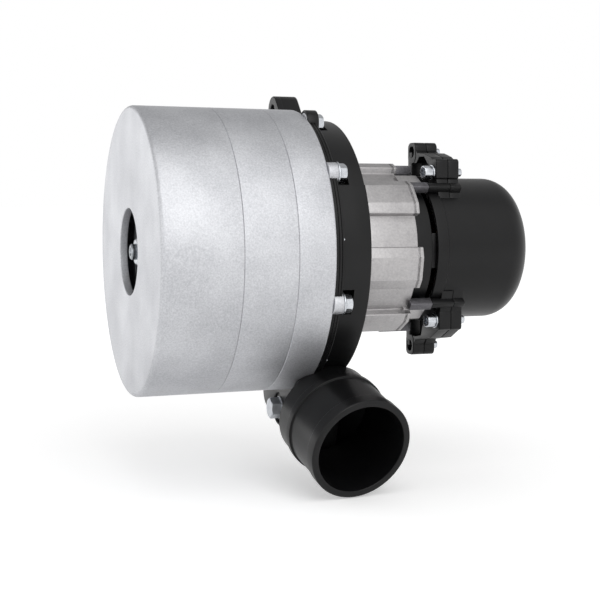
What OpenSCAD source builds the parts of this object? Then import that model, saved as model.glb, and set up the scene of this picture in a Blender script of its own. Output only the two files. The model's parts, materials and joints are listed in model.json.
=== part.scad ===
// Three-stage vacuum motor with a tangential outlet, as fitted to floor scrubbers.
// X runs along the shaft from the inlet face to the cap, Z is up, and Y points away
// from the side that the outlet leaves on. The origin is the centre of the inlet hole
// on the front face. All lengths are in millimetres and all angles in degrees.

/* [Fan case] */
// Radius of the fan case at its front face
case_r = 72.5; // [66:0.5:80]
// Taper of the cast case walls
case_draft = 0.35; // [0:0.05:0.6]
// Wall of the three shells
case_wall = 2.4; // [2:0.1:3]
// Rounding of the front edge
case_corner = 5.5; // [3:0.5:7]
// Length of the inlet shell
shell_1_len = 39.1; // [38:0.1:44]
// Length of the middle shell, and so the pitch of the stages
shell_2_len = 26.6; // [26:0.1:30]
// Length of the rear shell up to its step
shell_3_len = 18.5; // [16:0.5:22]
// Radius of the inlet hole
inlet_r = 21.75; // [20:0.25:23]
// Depth of the lip round the inlet hole
inlet_lip = 4; // [3:0.25:5]

/* [Impellers] */
// How far the impellers stand in from the case's radius
impeller_inset = 10.5; // [9:0.5:14]
// Depth of an impeller at its eye
impeller_depth = 13; // [11:0.5:14]
// Depth of an impeller at its rim
impeller_rim_depth = 9; // [7:0.5:11]
// Number of blades on each impeller
impeller_blades = 7; // [5:1:9]
// Radius that the impellers' blades are bent to
blade_curve = 42; // [38:1:60]
// Sheet that the impellers are pressed from
impeller_sheet = 1.2; // [1:0.1:1.6]
// Number of return vanes on each diffuser
diffuser_vanes = 11; // [7:1:15]

/* [Exhaust housing] */
// How far the drum's wall stands in from the flange's rim
drum_step = 3.9; // [3.2:0.1:5]
// Length of the drum, from the shells to its rear face
drum_len = 16.2; // [15:0.2:20]
// Wall of the moulded housing
drum_wall = 2.4; // [2:0.1:3]
// How far the flange screws stand in from the flange's rim
flange_screw_inset = 1.4; // [1:0.1:1.8]
// How far the axis of the outlet lies in from the case's radius
outlet_inset = 5.9; // [3:0.1:8]
// Distance from the shaft's plane to the mouth of the outlet
outlet_reach = 94.3; // [88:0.5:104]
// Angle at which the outlet drops below the horizontal
outlet_drop = 19.3; // [0:0.1:30]
// Angle at which the outlet leans towards the cap
outlet_lean = 7.1; // [4:0.1:9]
// Radius of the outlet's bore
outlet_bore_r = 23; // [21:0.25:23.5]
// Radius of the bead round the outlet's mouth
outlet_bead_r = 26.5; // [26:0.1:28]
// Radius of the hole in the mounting ear
ear_hole_r = 3.2; // [2.7:0.1:3.6]

/* [Motor] */
// Radius over the ribs of the motor frame
frame_r = 45.2; // [44:0.1:48]
// Length of the motor frame from the drum to the end of its flats
frame_len = 37.4; // [36:0.2:42]
// Radius of the bore in the motor frame
frame_bore_r = 38; // [37:0.1:38.6]
// Number of ribs round the motor frame
frame_ribs = 7; // [5:1:8]
// Radius of the armature
armature_r = 25.2; // [23:0.2:26]
// Radius of the shaft where the bearings sit
shaft_r = 5; // [4.5:0.1:5.5]
// Radius of the shaft where the impellers sit
shaft_fan_r = 4; // [3.6:0.1:4.2]

/* [Cap] */
// Radius of the cap over the brushes and the cooling fan
cap_r = 37.5; // [36.5:0.1:39]
// Room from the cooling fan to the end of the cap
fan_room = 8.6; // [7:0.2:14]
// Rounding of the cap's end
cap_corner = 14; // [10:0.5:16]
// Plane where the cap's lugs meet the bracket's lugs
lug_split_x = 163.8; // [163:0.2:165]
// Length of the cap's half of a lug along the shaft
lug_len = 6.2; // [5.8:0.2:7.4]
// Radius of the screws that hold the cap
cap_screw_r = 2.2; // [1.8:0.05:2.4]

/* [Fits] */
// Gap between a part and the bore it is seated in
seat_gap = 0.1; // [0.05:0.01:0.2]
// Gap between a turning part and what stands still round it
run_gap = 0.8; // [0.5:0.1:1]

/* [Hidden] */
$fn = 72;

// Fan case, from front to rear
seam_1_x = shell_1_len;
seam_2_x = seam_1_x + shell_2_len;
case_end_x = seam_2_x + shell_3_len;
step_len = 3.2;
step_inset = 1.4;
flange_x = case_end_x + step_len;
web = 1.8;
spigot_len = 7.7;
spigot_wall = 1.8;
seam_chamfer = 0.35;
front_wall = 2.6;
eye_r = inlet_r + 1.25;
boss_r = 5.3;
small_boss_r = 4.2;
boss_depth = 10;

// Stages: every stage is the one before it, moved by the length of the middle shell
stage_pitch = shell_2_len;
impeller_r = case_r - impeller_inset;
impeller_back_x = front_wall + 5 + impeller_depth;
diffuser_gap = 2.4;
diffuser_plate = 1.6;
vane_curve = 34;
vane_sheet = 1.4;
diffuser_r = case_radius(seam_1_x) - case_wall - 0.7;
hub_r = 10;
hub_len = 9.4;
hub_gap = 0.03;
washer_len = 1.2;
nut_len = 6.5;
nut_across = 13;
shaft_tip_x = 1;

// Exhaust housing
drum_end_x = flange_x + drum_len;
flange_len = 1;
flange_r = case_radius(case_end_x) - step_inset;
flange_screw_r = flange_r - flange_screw_inset;
drum_r = flange_r - drum_step;
drum_floor = 2.6;
drum_corner = 2;
screw_angles = [70, 34.5, -20, 124.5, 160, 214.5];
screw_shank_r = 2;
screw_depth = 7;
screw_flange_r = 5.2;
screw_flange_len = 1.2;
screw_head_len = 3.2;
screw_across = 8;
pocket_r = 6.2;
pocket_len = 6;
ear_angle = 105;
ear_rise = 4.1;
ear_r = case_r + ear_rise;
ear_round = 6.6;
ear_base = 31;
ear_x = case_end_x + 0.4;
ear_len = 9;
case_clearance = 0.4;

// Outlet, in a frame whose Z leaves along its axis and whose Y points to the shaft
outlet_offset = case_r - outlet_inset;
outlet_root_x = case_end_x + 3.05;
collar_back = 26;
collar_r = outlet_bead_r + 0.1;
tube_r = outlet_bead_r - 0.7;
bead_len = 7;
duct_front_x = case_end_x + 0.4;
duct_back = -18;
duct_near = 51;
duct_inner = outlet_offset - 16.6;
duct_outer = outlet_offset + 29.4;
duct_round = 9;
swell_inset = 0.6;
swell_overlap = 5;
bolt_along = 10.5;
bolt_out = outlet_offset + 20.4;
bolt_r = 3;
bolt_across = 10;
bolt_head = 8;
bolt_seat_r = 6.2;
bolt_boss_r = 7.6;
bolt_seat_x = duct_front_x + 2.4;

// Motor frame
frame_end_x = drum_end_x + frame_len;
rib_extra = 1.4;
rib_turn = -11.2;
rib_half = 14.25;
rib_flat_half = 7.4;
rib_drop = 1.4;
flat_drop = 4.2;
foot_len = 10.4;
foot_half = 3.3;
foot_rise = 5.2;
gusset_rise = 2.4;
bell = 4.9;
nose_front_x = drum_end_x - 9.6;
nose_r = 18;
bearing_w = 9;
bearing_r = 15;
bearing_x = drum_end_x - 4.1;
frame_screw_circle = 31;
frame_screw_count = 4;
frame_screw_r = 2.4;
seal_x = nose_front_x + 0.6;
seal_len = 4;
seal_r = 12;

// Armature, commutator and magnets
core_start = 13.4;
core_x = drum_end_x + core_start;
core_len = 24;
slots = 12;
wire_len = 7.5;
commutator_x = core_x + core_len + 13;
commutator_len = 15;
commutator_r = 15;
commutator_bars = 24;
flux_wall = 3.9;
magnet_gap = 0.7;
magnet_half = 66;

// Bracket, brushes and cap
bracket_len = 8.6;
bracket_r = cap_r - 1;
bracket_wall = 3.5;
open_gap = 2.4;
spacer_len = 1;
near_head_len = 4.6;
near_head_r = 3.5;
far_head_len = 2.4;
far_head_r = 2.8;
socket_across = 4;
screw_tip = 3.4;
bracket_lug_len = 6.6;
lug_front_x = lug_split_x - bracket_lug_len;
cap_front_x = frame_end_x + bracket_len + open_gap;
cap_wall = 2.5;
cap_band = 6;
cap_band_rise = 0.7;
rear_plate_x = commutator_x + commutator_len + 1.2;
rear_bearing_x = rear_plate_x + 3.8;
rear_bearing_w = 7;
rear_bearing_r = 11;
rear_shaft_r = 4;
rear_plate = 3.6;
plate_r = cap_r - cap_wall - 0.4;
lug_near_size = [10, 11];
lug_far_size = [10, 11];
bar_half = 2.8;
bar_rise = 6.2;
brush_len = 20;
brush_x = commutator_x + 7.5;
brush_width = 9;
brush_thick = 12;
brush_gap = 0.3;
brush_wall = 1;
brush_outer = cap_r + 10.5;
tube_cap = 2;
tower_wall = 2.2;
brush_wear = 8;
spring_turns = 5;
spring_wire = 0.5;
fan_x = rear_bearing_x + 12.4;
fan_len = 13;
cap_end_x = fan_x + fan_len + fan_room;
fan_r = 31;
fan_blades = 11;

function case_radius(x) = case_r - x * tan(case_draft);

function arc(centre, r, from, to, steps = 8) =
    [for (i = [0 : steps]) let (a = from + (to - from) * i / steps)
        centre + r * [cos(a), sin(a)]];

// Angles of the case are counted from the near side upwards, as seen from the front
function on_case(angle, r) = [-r * cos(angle), r * sin(angle)];

// Corners of a regular hexagon from its width across flats
function hex_r(across) = across / 2 / cos(30);

// Puts a flat drawing of Y and Z at x and lets it rise along +X
module at_x(x) {
    translate([x, 0, 0]) rotate([90, 0, 90]) children();
}

// Turned shape from points of [radius, x]
module turned(points) {
    at_x(0) rotate_extrude($fn = 96) polygon(points);
}

module rod(from, to, r) {
    at_x(from) cylinder(h = to - from, r = r);
}

module tube(from, to, outer, inner) {
    turned([[inner, from], [outer, from], [outer, to], [inner, to]]);
}

module rod_at(place, from, to, r) {
    translate([0, place[0], place[1]]) rod(from, to, r);
}

module hex_at(place, from, to, across) {
    translate([0, place[0], place[1]]) at_x(from) cylinder(h = to - from, r = hex_r(across), $fn = 6);
}

module rounded(size, r) {
    square([size[0], size[1] - 2 * r], center = true);
    square([size[0] - 2 * r, size[1]], center = true);
    for (sx = [-1, 1], sy = [-1, 1])
        translate([sx * (size[0] / 2 - r), sy * (size[1] / 2 - r)]) circle(r = r);
}

// The three shells
module inlet_shell() {
    color("silver")
    turned(concat(
        [[inlet_r, 0]],
        arc([case_r - case_corner, case_corner], case_corner, -90, 0),
        [[case_radius(seam_1_x - seam_chamfer), seam_1_x - seam_chamfer],
         [case_radius(seam_1_x) - seam_chamfer, seam_1_x],
         [case_radius(seam_1_x) - case_wall, seam_1_x],
         [case_radius(seam_1_x) - case_wall, front_wall + 3],
         [case_radius(seam_1_x) - case_wall - 3, front_wall],
         [inlet_r + 1.6, front_wall],
         [inlet_r + 1.6, inlet_lip],
         [inlet_r, inlet_lip]]));
}

// A shell that plugs into the one before it and carries the web of its own stage
function later_shell(start, end, r_in) = let (plug = case_radius(start) - case_wall - seat_gap) [
    [eye_r, start - spigot_len], [plug, start - spigot_len], [plug, start],
    [case_radius(start) - seam_chamfer, start],
    [case_radius(start + seam_chamfer), start + seam_chamfer]];

module middle_shell() {
    plug = case_radius(seam_1_x) - case_wall - seat_gap;
    color("silver")
    turned(concat(
        later_shell(seam_1_x, seam_2_x),
        [[case_radius(seam_2_x - seam_chamfer), seam_2_x - seam_chamfer],
         [case_radius(seam_2_x) - seam_chamfer, seam_2_x],
         [case_radius(seam_2_x) - case_wall, seam_2_x],
         [case_radius(seam_2_x) - case_wall, seam_1_x + 2],
         [plug - spigot_wall, seam_1_x],
         [plug - spigot_wall, seam_1_x - spigot_len + web],
         [eye_r, seam_1_x - spigot_len + web]]));
}

module rear_shell() {
    plug = case_radius(seam_2_x) - case_wall - seat_gap;
    inner = case_radius(case_end_x) - case_wall - 1.4;
    color("silver")
    difference() {
        union() {
            turned(concat(
                later_shell(seam_2_x, case_end_x),
                [[case_radius(case_end_x - 1), case_end_x - 1],
                 [case_radius(case_end_x) - 0.4, case_end_x - 0.3],
                 [flange_r, case_end_x],
                 [flange_r, flange_x],
                 [inner, flange_x],
                 [inner, seam_2_x + 2],
                 [plug - spigot_wall, seam_2_x],
                 [plug - spigot_wall, seam_2_x - spigot_len + web],
                 [eye_r, seam_2_x - spigot_len + web]]));
            for (a = screw_angles) {
                rod_at(on_case(a, flange_screw_r), case_end_x - 0.4, flange_x, boss_r);
                intersection() {
                    rod_at(on_case(a, flange_screw_r), flange_x - boss_depth, flange_x, small_boss_r);
                    rod(flange_x - boss_depth - 1, flange_x + 1, case_radius(case_end_x) - 1);
                }
            }
        }
        for (a = screw_angles)
            rod_at(on_case(a, flange_screw_r), flange_x - screw_depth - 1, flange_x + 1,
                screw_shank_r + seat_gap);
    }
}

// Outlet and exhaust housing
module along_outlet() {
    rotate([outlet_drop, 0, 0]) translate([outlet_root_x, 0, -outlet_offset])
        rotate([0, 0, outlet_lean]) rotate([90, 0, 0]) children();
}

mouth = outlet_reach / cos(outlet_lean);
collar = mouth - collar_back;

// Rods along the duct's long corners beside the drum, grown or shrunk on every side
module duct_rods(grow, alongs) {
    rotate([outlet_drop, 0, 0])
        for (along = alongs, out = [duct_inner + duct_round, duct_outer - duct_round])
            translate([0, -along, -out])
                at_x(duct_front_x - grow)
                    cylinder(h = drum_end_x - duct_front_x + 2 * grow, r = duct_round + grow, $fn = 24);
}

// The duct runs straight beside the drum and then swells to the round collar
module duct(grow) {
    hull() duct_rods(grow, [duct_back + duct_round, duct_near - duct_round]);
    hull() {
        duct_rods(grow - swell_inset, [duct_near - duct_round - swell_overlap]);
        along_outlet() translate([0, 0, collar - 4]) cylinder(h = 4, r = collar_r + grow, $fn = 32);
    }
}

module mounting_ear() {
    d = norm([ear_base / 2, ear_r - drum_r + 4]);
    foot = drum_r - 4;
    lean = atan2(ear_r - foot, -ear_base / 2) - asin(ear_round / d);
    reach = sqrt(d * d - ear_round * ear_round);
    tip = [ear_base / 2 + reach * cos(lean), foot + reach * sin(lean)];
    difference() {
        rotate([90 - ear_angle, 0, 0]) at_x(ear_x) linear_extrude(ear_len) {
            polygon([[-ear_base / 2, foot], [ear_base / 2, foot], tip, [-tip[0], tip[1]]]);
            translate([0, ear_r]) circle(r = ear_round);
        }
        rod(ear_x - 1, flange_x, case_r + case_clearance);
        rod_at(on_case(ear_angle, ear_r), ear_x - 1, ear_x + ear_len + 1, ear_hole_r);
    }
}

bolt_place = [-bolt_along * cos(outlet_drop) + bolt_out * sin(outlet_drop),
    -bolt_along * sin(outlet_drop) - bolt_out * cos(outlet_drop)];

module exhaust_housing() {
    color("#1c1c1e")
    difference() {
        union() {
            turned([[drum_r - drum_wall, flange_x], [flange_r, flange_x],
                [flange_r, flange_x + flange_len], [drum_r, flange_x + flange_len],
                [drum_r, drum_end_x - drum_corner], [drum_r - drum_corner, drum_end_x],
                [nose_r + seat_gap, drum_end_x], [nose_r + seat_gap, drum_end_x - drum_floor - 3],
                [nose_r + 3, drum_end_x - drum_floor - 3], [nose_r + 3, drum_end_x - drum_floor],
                [drum_r - drum_wall, drum_end_x - drum_floor]]);
            for (a = screw_angles) {
                rod_at(on_case(a, flange_screw_r), flange_x, flange_x + flange_len, boss_r + 0.2);
                intersection() {
                    rod_at(on_case(a, flange_screw_r), flange_x, drum_end_x - 1, pocket_r + drum_wall);
                    rod(flange_x, drum_end_x, drum_r);
                }
            }
            mounting_ear();
            difference() {
                duct(0);
                rod(0, flange_x, case_r + case_clearance);
                rod(flange_x, drum_end_x, drum_r - 1);
            }
            along_outlet() translate([0, 0, collar - 1]) {
                cylinder(h = mouth - collar + 1, r = tube_r);
                translate([0, 0, mouth - collar + 1 - bead_len]) cylinder(h = bead_len, r = outlet_bead_r);
            }
            rod_at(bolt_place, duct_front_x, drum_end_x, bolt_boss_r);
        }
        // passage from the drum into the outlet
        difference() {
            duct(-drum_wall);
            rod(0, flange_x + flange_len, case_r + case_clearance + drum_wall);
            rod_at(bolt_place, 0, cap_end_x, bolt_boss_r);
        }
        along_outlet() translate([0, 0, collar - 14]) cylinder(h = mouth, r = outlet_bore_r);
        for (a = screw_angles) {
            rod_at(on_case(a, flange_screw_r), flange_x - 1, flange_x + flange_len + 1,
                screw_shank_r + seat_gap);
            rod_at(on_case(a, flange_screw_r), flange_x + flange_len, flange_x + flange_len + pocket_len,
                pocket_r);
        }
        rod_at(bolt_place, duct_front_x - 1, drum_end_x + 1, bolt_r + seat_gap);
        rod_at(bolt_place, duct_front_x - 1, bolt_seat_x, bolt_seat_r);
        for (i = [0 : frame_screw_count - 1])
            rod_at(on_case(45 + i * 360 / frame_screw_count, frame_screw_circle),
                drum_end_x - drum_floor - 1, drum_end_x + 1, frame_screw_r + seat_gap);
    }
}

module flange_screws() {
    head_x = flange_x + flange_len;
    color("#c9ccd0")
    for (a = screw_angles) {
        rod_at(on_case(a, flange_screw_r), flange_x - screw_depth, head_x, screw_shank_r);
        rod_at(on_case(a, flange_screw_r), head_x, head_x + screw_flange_len, screw_flange_r);
        hex_at(on_case(a, flange_screw_r), head_x + screw_flange_len,
            head_x + screw_flange_len + screw_head_len, screw_across);
    }
}

module ear_bolt() {
    color("#c9ccd0") {
        hex_at(bolt_place, bolt_seat_x - bolt_head, bolt_seat_x, bolt_across);
        rod_at(bolt_place, bolt_seat_x, drum_end_x + 7, bolt_r);
    }
}

module ear_nut() {
    color("#c9ccd0")
    difference() {
        hex_at(bolt_place, drum_end_x, drum_end_x + 5, bolt_across);
        rod_at(bolt_place, drum_end_x - 1, drum_end_x + 6, bolt_r + seat_gap);
    }
}

// Blade of an impeller or a vane of a diffuser: a strip of a ring, cut between two radii
module blade(inner, outer, curve, thick) {
    intersection() {
        difference() {
            translate([curve, 0]) circle(r = curve + thick / 2);
            translate([curve, 0]) circle(r = curve - thick / 2);
        }
        difference() {
            translate([0, -outer]) square([outer, outer]);
            circle(r = inner);
        }
        circle(r = outer);
    }
}

module impeller(stage) {
    back = impeller_back_x + stage * stage_pitch;
    eye = back - impeller_depth;
    rim = back - impeller_rim_depth;
    sheet = impeller_sheet;
    color("#b9bcc0")
    difference() {
        union() {
            tube(back - sheet, back, impeller_r, shaft_fan_r + hub_gap);
            turned([[inlet_r + 0.5, eye], [impeller_r, rim], [impeller_r, rim + sheet],
                [inlet_r + 0.5, eye + sheet]]);
            tube(back - hub_len, back - sheet / 2, hub_r, shaft_fan_r + hub_gap);
            intersection() {
                turned([[hub_r + 14, eye + sheet / 2 + 0.1], [impeller_r - 0.3, rim + sheet / 2],
                    [impeller_r - 0.3, back - sheet / 2], [hub_r + 14, back - sheet / 2]]);
                at_x(eye) linear_extrude(impeller_depth)
                    for (i = [0 : impeller_blades - 1])
                        rotate(i * 360 / impeller_blades) blade(hub_r + 14.5, impeller_r - 0.6, blade_curve, sheet);
            }
        }
        rod(eye - 1, back + 1, shaft_fan_r + hub_gap);
    }
}

module impeller_1() { impeller(0); }
module impeller_2() { impeller(1); }
module impeller_3() { impeller(2); }

module diffuser(stage) {
    x = impeller_back_x + diffuser_gap + stage * stage_pitch;
    vane_end = seam_1_x - spigot_len + stage * stage_pitch;
    rim_r = case_radius(seam_1_x + stage * stage_pitch) - case_wall - 3;
    color("#aeb1b5") {
        tube(x, x + diffuser_plate, rim_r - 4, hub_r + 2);
        at_x(x + diffuser_plate) linear_extrude(vane_end - x - diffuser_plate)
            for (i = [0 : diffuser_vanes - 1])
                rotate(i * 360 / diffuser_vanes) mirror([0, 1]) blade(eye_r + 3, rim_r, vane_curve, vane_sheet);
    }
}

module diffuser_1() { diffuser(0); }
module diffuser_2() { diffuser(1); }

// Shaft and what is clamped on it
nut_x = impeller_back_x - hub_len - washer_len - nut_len;

module fan_nut() {
    color("#c9ccd0")
    difference() {
        intersection() {
            hex_at([0, 0], nut_x, nut_x + nut_len, nut_across);
            turned([[0, nut_x], [nut_across / 2 - 0.6, nut_x], [nut_across / 2 + 1.4, nut_x + 2],
                [nut_across / 2 + 1.4, nut_x + nut_len], [0, nut_x + nut_len]]);
        }
        rod(nut_x - 1, nut_x + nut_len + 1, shaft_fan_r + hub_gap);
    }
}

module nut_washer() {
    color("#c9ccd0")
    tube(nut_x + nut_len, nut_x + nut_len + washer_len, hub_r - 0.5, shaft_fan_r + hub_gap);
}

module spacer(from, to, r) {
    color("#b4b7bb") tube(from, to, r, shaft_fan_r + hub_gap);
}

module spacer_1() { spacer(impeller_back_x, impeller_back_x + stage_pitch - hub_len, hub_r - 2); }
module spacer_2() {
    spacer(impeller_back_x + stage_pitch, impeller_back_x + 2 * stage_pitch - hub_len, hub_r - 2);
}
module spacer_3() { spacer(impeller_back_x + 2 * stage_pitch, bearing_x, hub_r - 3); }

module shaft() {
    end_x = fan_x + fan_len + 2;
    color("#a9acb0")
    difference() {
        turned([[0, shaft_tip_x], [shaft_fan_r - 0.6, shaft_tip_x], [shaft_fan_r, shaft_tip_x + 0.6],
            [shaft_fan_r, bearing_x], [shaft_r, bearing_x],
            [shaft_r, rear_bearing_x - 1], [rear_shaft_r, rear_bearing_x - 1],
            [rear_shaft_r, end_x - 0.6], [rear_shaft_r - 0.6, end_x], [0, end_x]]);
        turned([[0, shaft_tip_x - 1], [2.2, shaft_tip_x - 0.001], [0, shaft_tip_x + 2.4]]);
    }
}

module shaft_seal() {
    color("#2a2a2a") tube(seal_x, seal_x + seal_len, seal_r, hub_r - 3 + 0.4);
}

// Deep-groove ball bearings
module bearing_outer(x, w, outer) {
    color("#9fa3a8") tube(x, x + w, outer, outer - 2.4);
}

module bearing_inner(x, w, inner) {
    color("#9fa3a8") tube(x, x + w, inner + 2.2, inner + hub_gap);
}

module bearing_balls(x, w, outer, inner) {
    pitch = (outer - 2.4 + inner + 2.2) / 2;
    ball = (outer - 2.4 - inner - 2.2) / 2 - 0.05;
    count = floor(180 / asin((ball + 0.3) / pitch));
    color("#b8bcc1")
    for (i = [0 : count - 1])
        translate([x + w / 2, 0, 0]) rotate([i * 360 / count, 0, 0]) translate([0, pitch, 0])
            sphere(r = ball, $fn = 24);
}

module front_bearing_outer() { bearing_outer(bearing_x, bearing_w, bearing_r); }
module front_bearing_inner() { bearing_inner(bearing_x, bearing_w, shaft_r); }
module front_bearing_balls() { bearing_balls(bearing_x, bearing_w, bearing_r, shaft_r); }
module rear_bearing_outer() { bearing_outer(rear_bearing_x, rear_bearing_w, rear_bearing_r); }
module rear_bearing_inner() { bearing_inner(rear_bearing_x, rear_bearing_w, rear_shaft_r); }
module rear_bearing_balls() {
    bearing_balls(rear_bearing_x, rear_bearing_w, rear_bearing_r, rear_shaft_r);
}

module wave_washer() {
    color("#9fa3a8")
    tube(rear_bearing_x + rear_bearing_w + 0.1, rear_bearing_x + rear_bearing_w + 0.9,
        rear_bearing_r - 0.3, rear_bearing_r - 3);
}

// Motor frame: a die casting with ribs that stand proud of flats between them
module rib_outline() {
    pitch = 360 / frame_ribs;
    polygon([for (i = [0 : frame_ribs - 1], corner = [0 : 5])
        let (a = i * pitch + rib_turn + [-rib_half, -rib_half, -rib_flat_half, rib_flat_half, rib_half, rib_half][corner],
             r = frame_r - [flat_drop, rib_drop, 0, 0, rib_drop, flat_drop][corner])
        on_case(a, r)]);
}

module flat_outline() {
    pitch = 360 / frame_ribs;
    polygon([for (i = [0 : frame_ribs - 1], side = [-1, 1])
        on_case(i * pitch + rib_turn + side * rib_half, frame_r - flat_drop)]);
}

// Plate that stands off the frame's bore at an angle; its outline is drawn along the shaft
// and round the frame
module standing(angle, rise, outline) {
    rotate([90 - angle, 0, 0]) translate([0, 0, frame_bore_r - 1])
        linear_extrude(rise + 1) polygon(outline);
}

// Foot behind a rib, with the gusset beside it; the bracket's bar bears on its end
module frame_foot(side) {
    from = frame_end_x - 6;
    to = frame_end_x + foot_len;
    mirror([0, 0, side]) {
        standing(foot_angles[side], foot_rise, [[from, -foot_half], [to - 2.6, -foot_half],
            [to, foot_half], [from, foot_half]]);
        standing(foot_angles[side] + 10, gusset_rise, [[from, -5], [to - 3, -5], [to - 5, 4.4], [from, 4.4]]);
    }
}

module motor_frame() {
    color("#a2a5a9")
    difference() {
        union() {
            at_x(drum_end_x) linear_extrude(frame_len) flat_outline();
            at_x(drum_end_x) linear_extrude(frame_len + rib_extra) rib_outline();
            rod(nose_front_x, drum_end_x, nose_r);
            for (side = [0, 1]) frame_foot(side);
        }
        rod(drum_end_x + bell, cap_end_x, frame_bore_r);
        rod(bearing_x, drum_end_x + bell + 1, bearing_r + hub_gap);
        rod(nose_front_x - 1, bearing_x + 1, bearing_r - 3.5);
        rod(seal_x, seal_x + seal_len + 0.2, seal_r + seat_gap);
        for (i = [0 : frame_screw_count - 1])
            rod_at(on_case(45 + i * 360 / frame_screw_count, frame_screw_circle),
                drum_end_x - 1, drum_end_x + bell + 1, frame_screw_r + seat_gap);
    }
}

module frame_screws() {
    head_x = drum_end_x - drum_floor;
    color("#c9ccd0")
    for (i = [0 : frame_screw_count - 1]) {
        place = on_case(45 + i * 360 / frame_screw_count, frame_screw_circle);
        rod_at(place, head_x, drum_end_x + bell, frame_screw_r);
        rod_at(place, head_x - 2.8, head_x, frame_screw_r + 2);
    }
}

module flux_ring() {
    color("#6d6f73")
    tube(drum_end_x + bell + 0.1, frame_end_x - 3, frame_bore_r - seat_gap, frame_bore_r - flux_wall);
}

// Two ferrite arcs, one at the top and one at the bottom
module magnets() {
    outer = frame_bore_r - flux_wall - seat_gap;
    color("#3c3c3f")
    intersection() {
        tube(core_x - 2, frame_end_x - 3, outer, armature_r + magnet_gap);
        at_x(0) linear_extrude(cap_end_x)
            for (side = [-1, 1])
                polygon([[0, 0], for (a = [-magnet_half : magnet_half / 2 : magnet_half])
                    2 * outer * [sin(a), side * cos(a)]]);
    }
}

module armature_core() {
    color("#77797d")
    difference() {
        rod(core_x, core_x + core_len, armature_r);
        rod(core_x - 1, core_x + core_len + 1, shaft_r + hub_gap);
        at_x(core_x - 1) linear_extrude(core_len + 2)
            for (i = [0 : slots - 1]) rotate(i * 360 / slots) {
                translate([armature_r - 8, -2.6]) square([6, 5.2]);
                translate([armature_r - 3, -1.2]) square([4, 2.4]);
            }
    }
}

module armature_windings() {
    color("#a5603a") {
        at_x(core_x) linear_extrude(core_len)
            for (i = [0 : slots - 1]) rotate(i * 360 / slots)
                translate([armature_r - 7.8, -2.4]) square([5.6, 4.8]);
        turned(winding_end(core_x, -1));
        turned(winding_end(core_x + core_len, 1));
    }
}

function winding_end(x, side) = [[8, x], [armature_r - 2.2, x], [armature_r - 2.2, x + side * 2.5],
    [armature_r - 5, x + side * (wire_len - 1)], [armature_r - 9, x + side * wire_len],
    [10, x + side * (wire_len - 2)], [8, x + side * 3]];

module commutator() {
    color("#b87333")
    difference() {
        union() {
            rod(commutator_x, commutator_x + commutator_len, commutator_r);
            rod(commutator_x - 2.4, commutator_x, commutator_r + 1.6);
        }
        rod(commutator_x - 3, commutator_x + commutator_len + 1, shaft_r + hub_gap);
        at_x(commutator_x - 3) linear_extrude(commutator_len + 4)
            for (i = [0 : commutator_bars - 1]) rotate(i * 360 / commutator_bars)
                translate([commutator_r - 1, -0.3]) square([5, 0.6]);
    }
}

// Angles of the lugs, of the bars below the near ones and of the frame's feet, each first for
// the top and then for the bottom: the bracket is turned a little against the frame
near_angles = [65, 57];
far_angles = [99, 100];
bar_angles = [50, 42];
foot_angles = [51.5, 42.3];

function lug_near(side) = on_case(near_angles[side], cap_r + 6.9);
function lug_far(side) = on_case(far_angles[side], cap_r + 15.8);

// Outline of one pair of lugs and the arched web between them
module lug_outline(side) {
    n = lug_near(side);
    f = lug_far(side);
    translate(n + [0, 1.5]) rounded(lug_near_size, 2);
    translate(f - [0, 0.5]) rounded(lug_far_size, 3);
    polygon([n + [1, 6.2], n + [6.8, 8.2], f + [-15.6, -0.4], f + [-7.6, 0.6], f + [-3, 2], f + [-2, -6],
        f + [-6.6, -6.4], f + [-8.6, -4], f + [-10.1, -2.5], f + [-16.1, -2.5], n + [6.8, 4.7], n + [4, 3]]);
}

// Feet that carry the lugs from the round wall, and the bar beside the near one
module lug_feet(side, r) {
    n = lug_near(side);
    f = lug_far(side);
    difference() {
        union() {
            polygon([[n[0] - 9, 20], [n[0] + 5, 20], n + [5, -3], n + [-4.5, -3.5]]);
            polygon([[f[0], 20], [f[0] + 5, 20], f + [5, 0], f]);
            polygon([n + [3, -1], [-9, n[1] - 1], [-9, n[1] + 4.7], n + [3, 4.7]]);
            bar_outline(side);
        }
        circle(r = r);
    }
}

module bar_outline(side) {
    rotate(180 - bar_angles[side]) translate([20, -bar_half]) square([cap_r + bar_rise - 20, 2 * bar_half]);
}

module lug_pair(from, to, foot_r) {
    for (side = [0, 1]) mirror([0, 0, side]) at_x(from) linear_extrude(to - from) {
        lug_outline(side);
        lug_feet(side, foot_r);
    }
}

// Bores for the screws, and the wider ones that hide the heads in the far lugs
module lug_holes(r) {
    for (side = [0, 1]) mirror([0, 0, side]) {
        for (place = [lug_near(side), lug_far(side)])
            rod_at(place, cap_front_x - 6, lug_split_x + lug_len + 1, r);
        rod_at(lug_far(side), cap_front_x - 6, far_seat_x, far_head_r + 2 * seat_gap);
    }
}

far_seat_x = lug_split_x - 1.6;

tower_y = brush_thick / 2 + brush_gap + brush_wall + seat_gap + tower_wall;
tower_from = brush_x - brush_width / 2 - brush_gap - brush_wall - seat_gap - tower_wall;
tower_to = brush_x + brush_width / 2 + brush_gap + brush_wall + seat_gap + tower_wall;

module brush_slot(grow, from, to) {
    for (side = [0, 1]) mirror([0, 0, side])
        translate([brush_x - brush_width / 2 - grow, -brush_thick / 2 - grow, from])
            cube([brush_width + 2 * grow, brush_thick + 2 * grow, to - from]);
}

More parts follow.
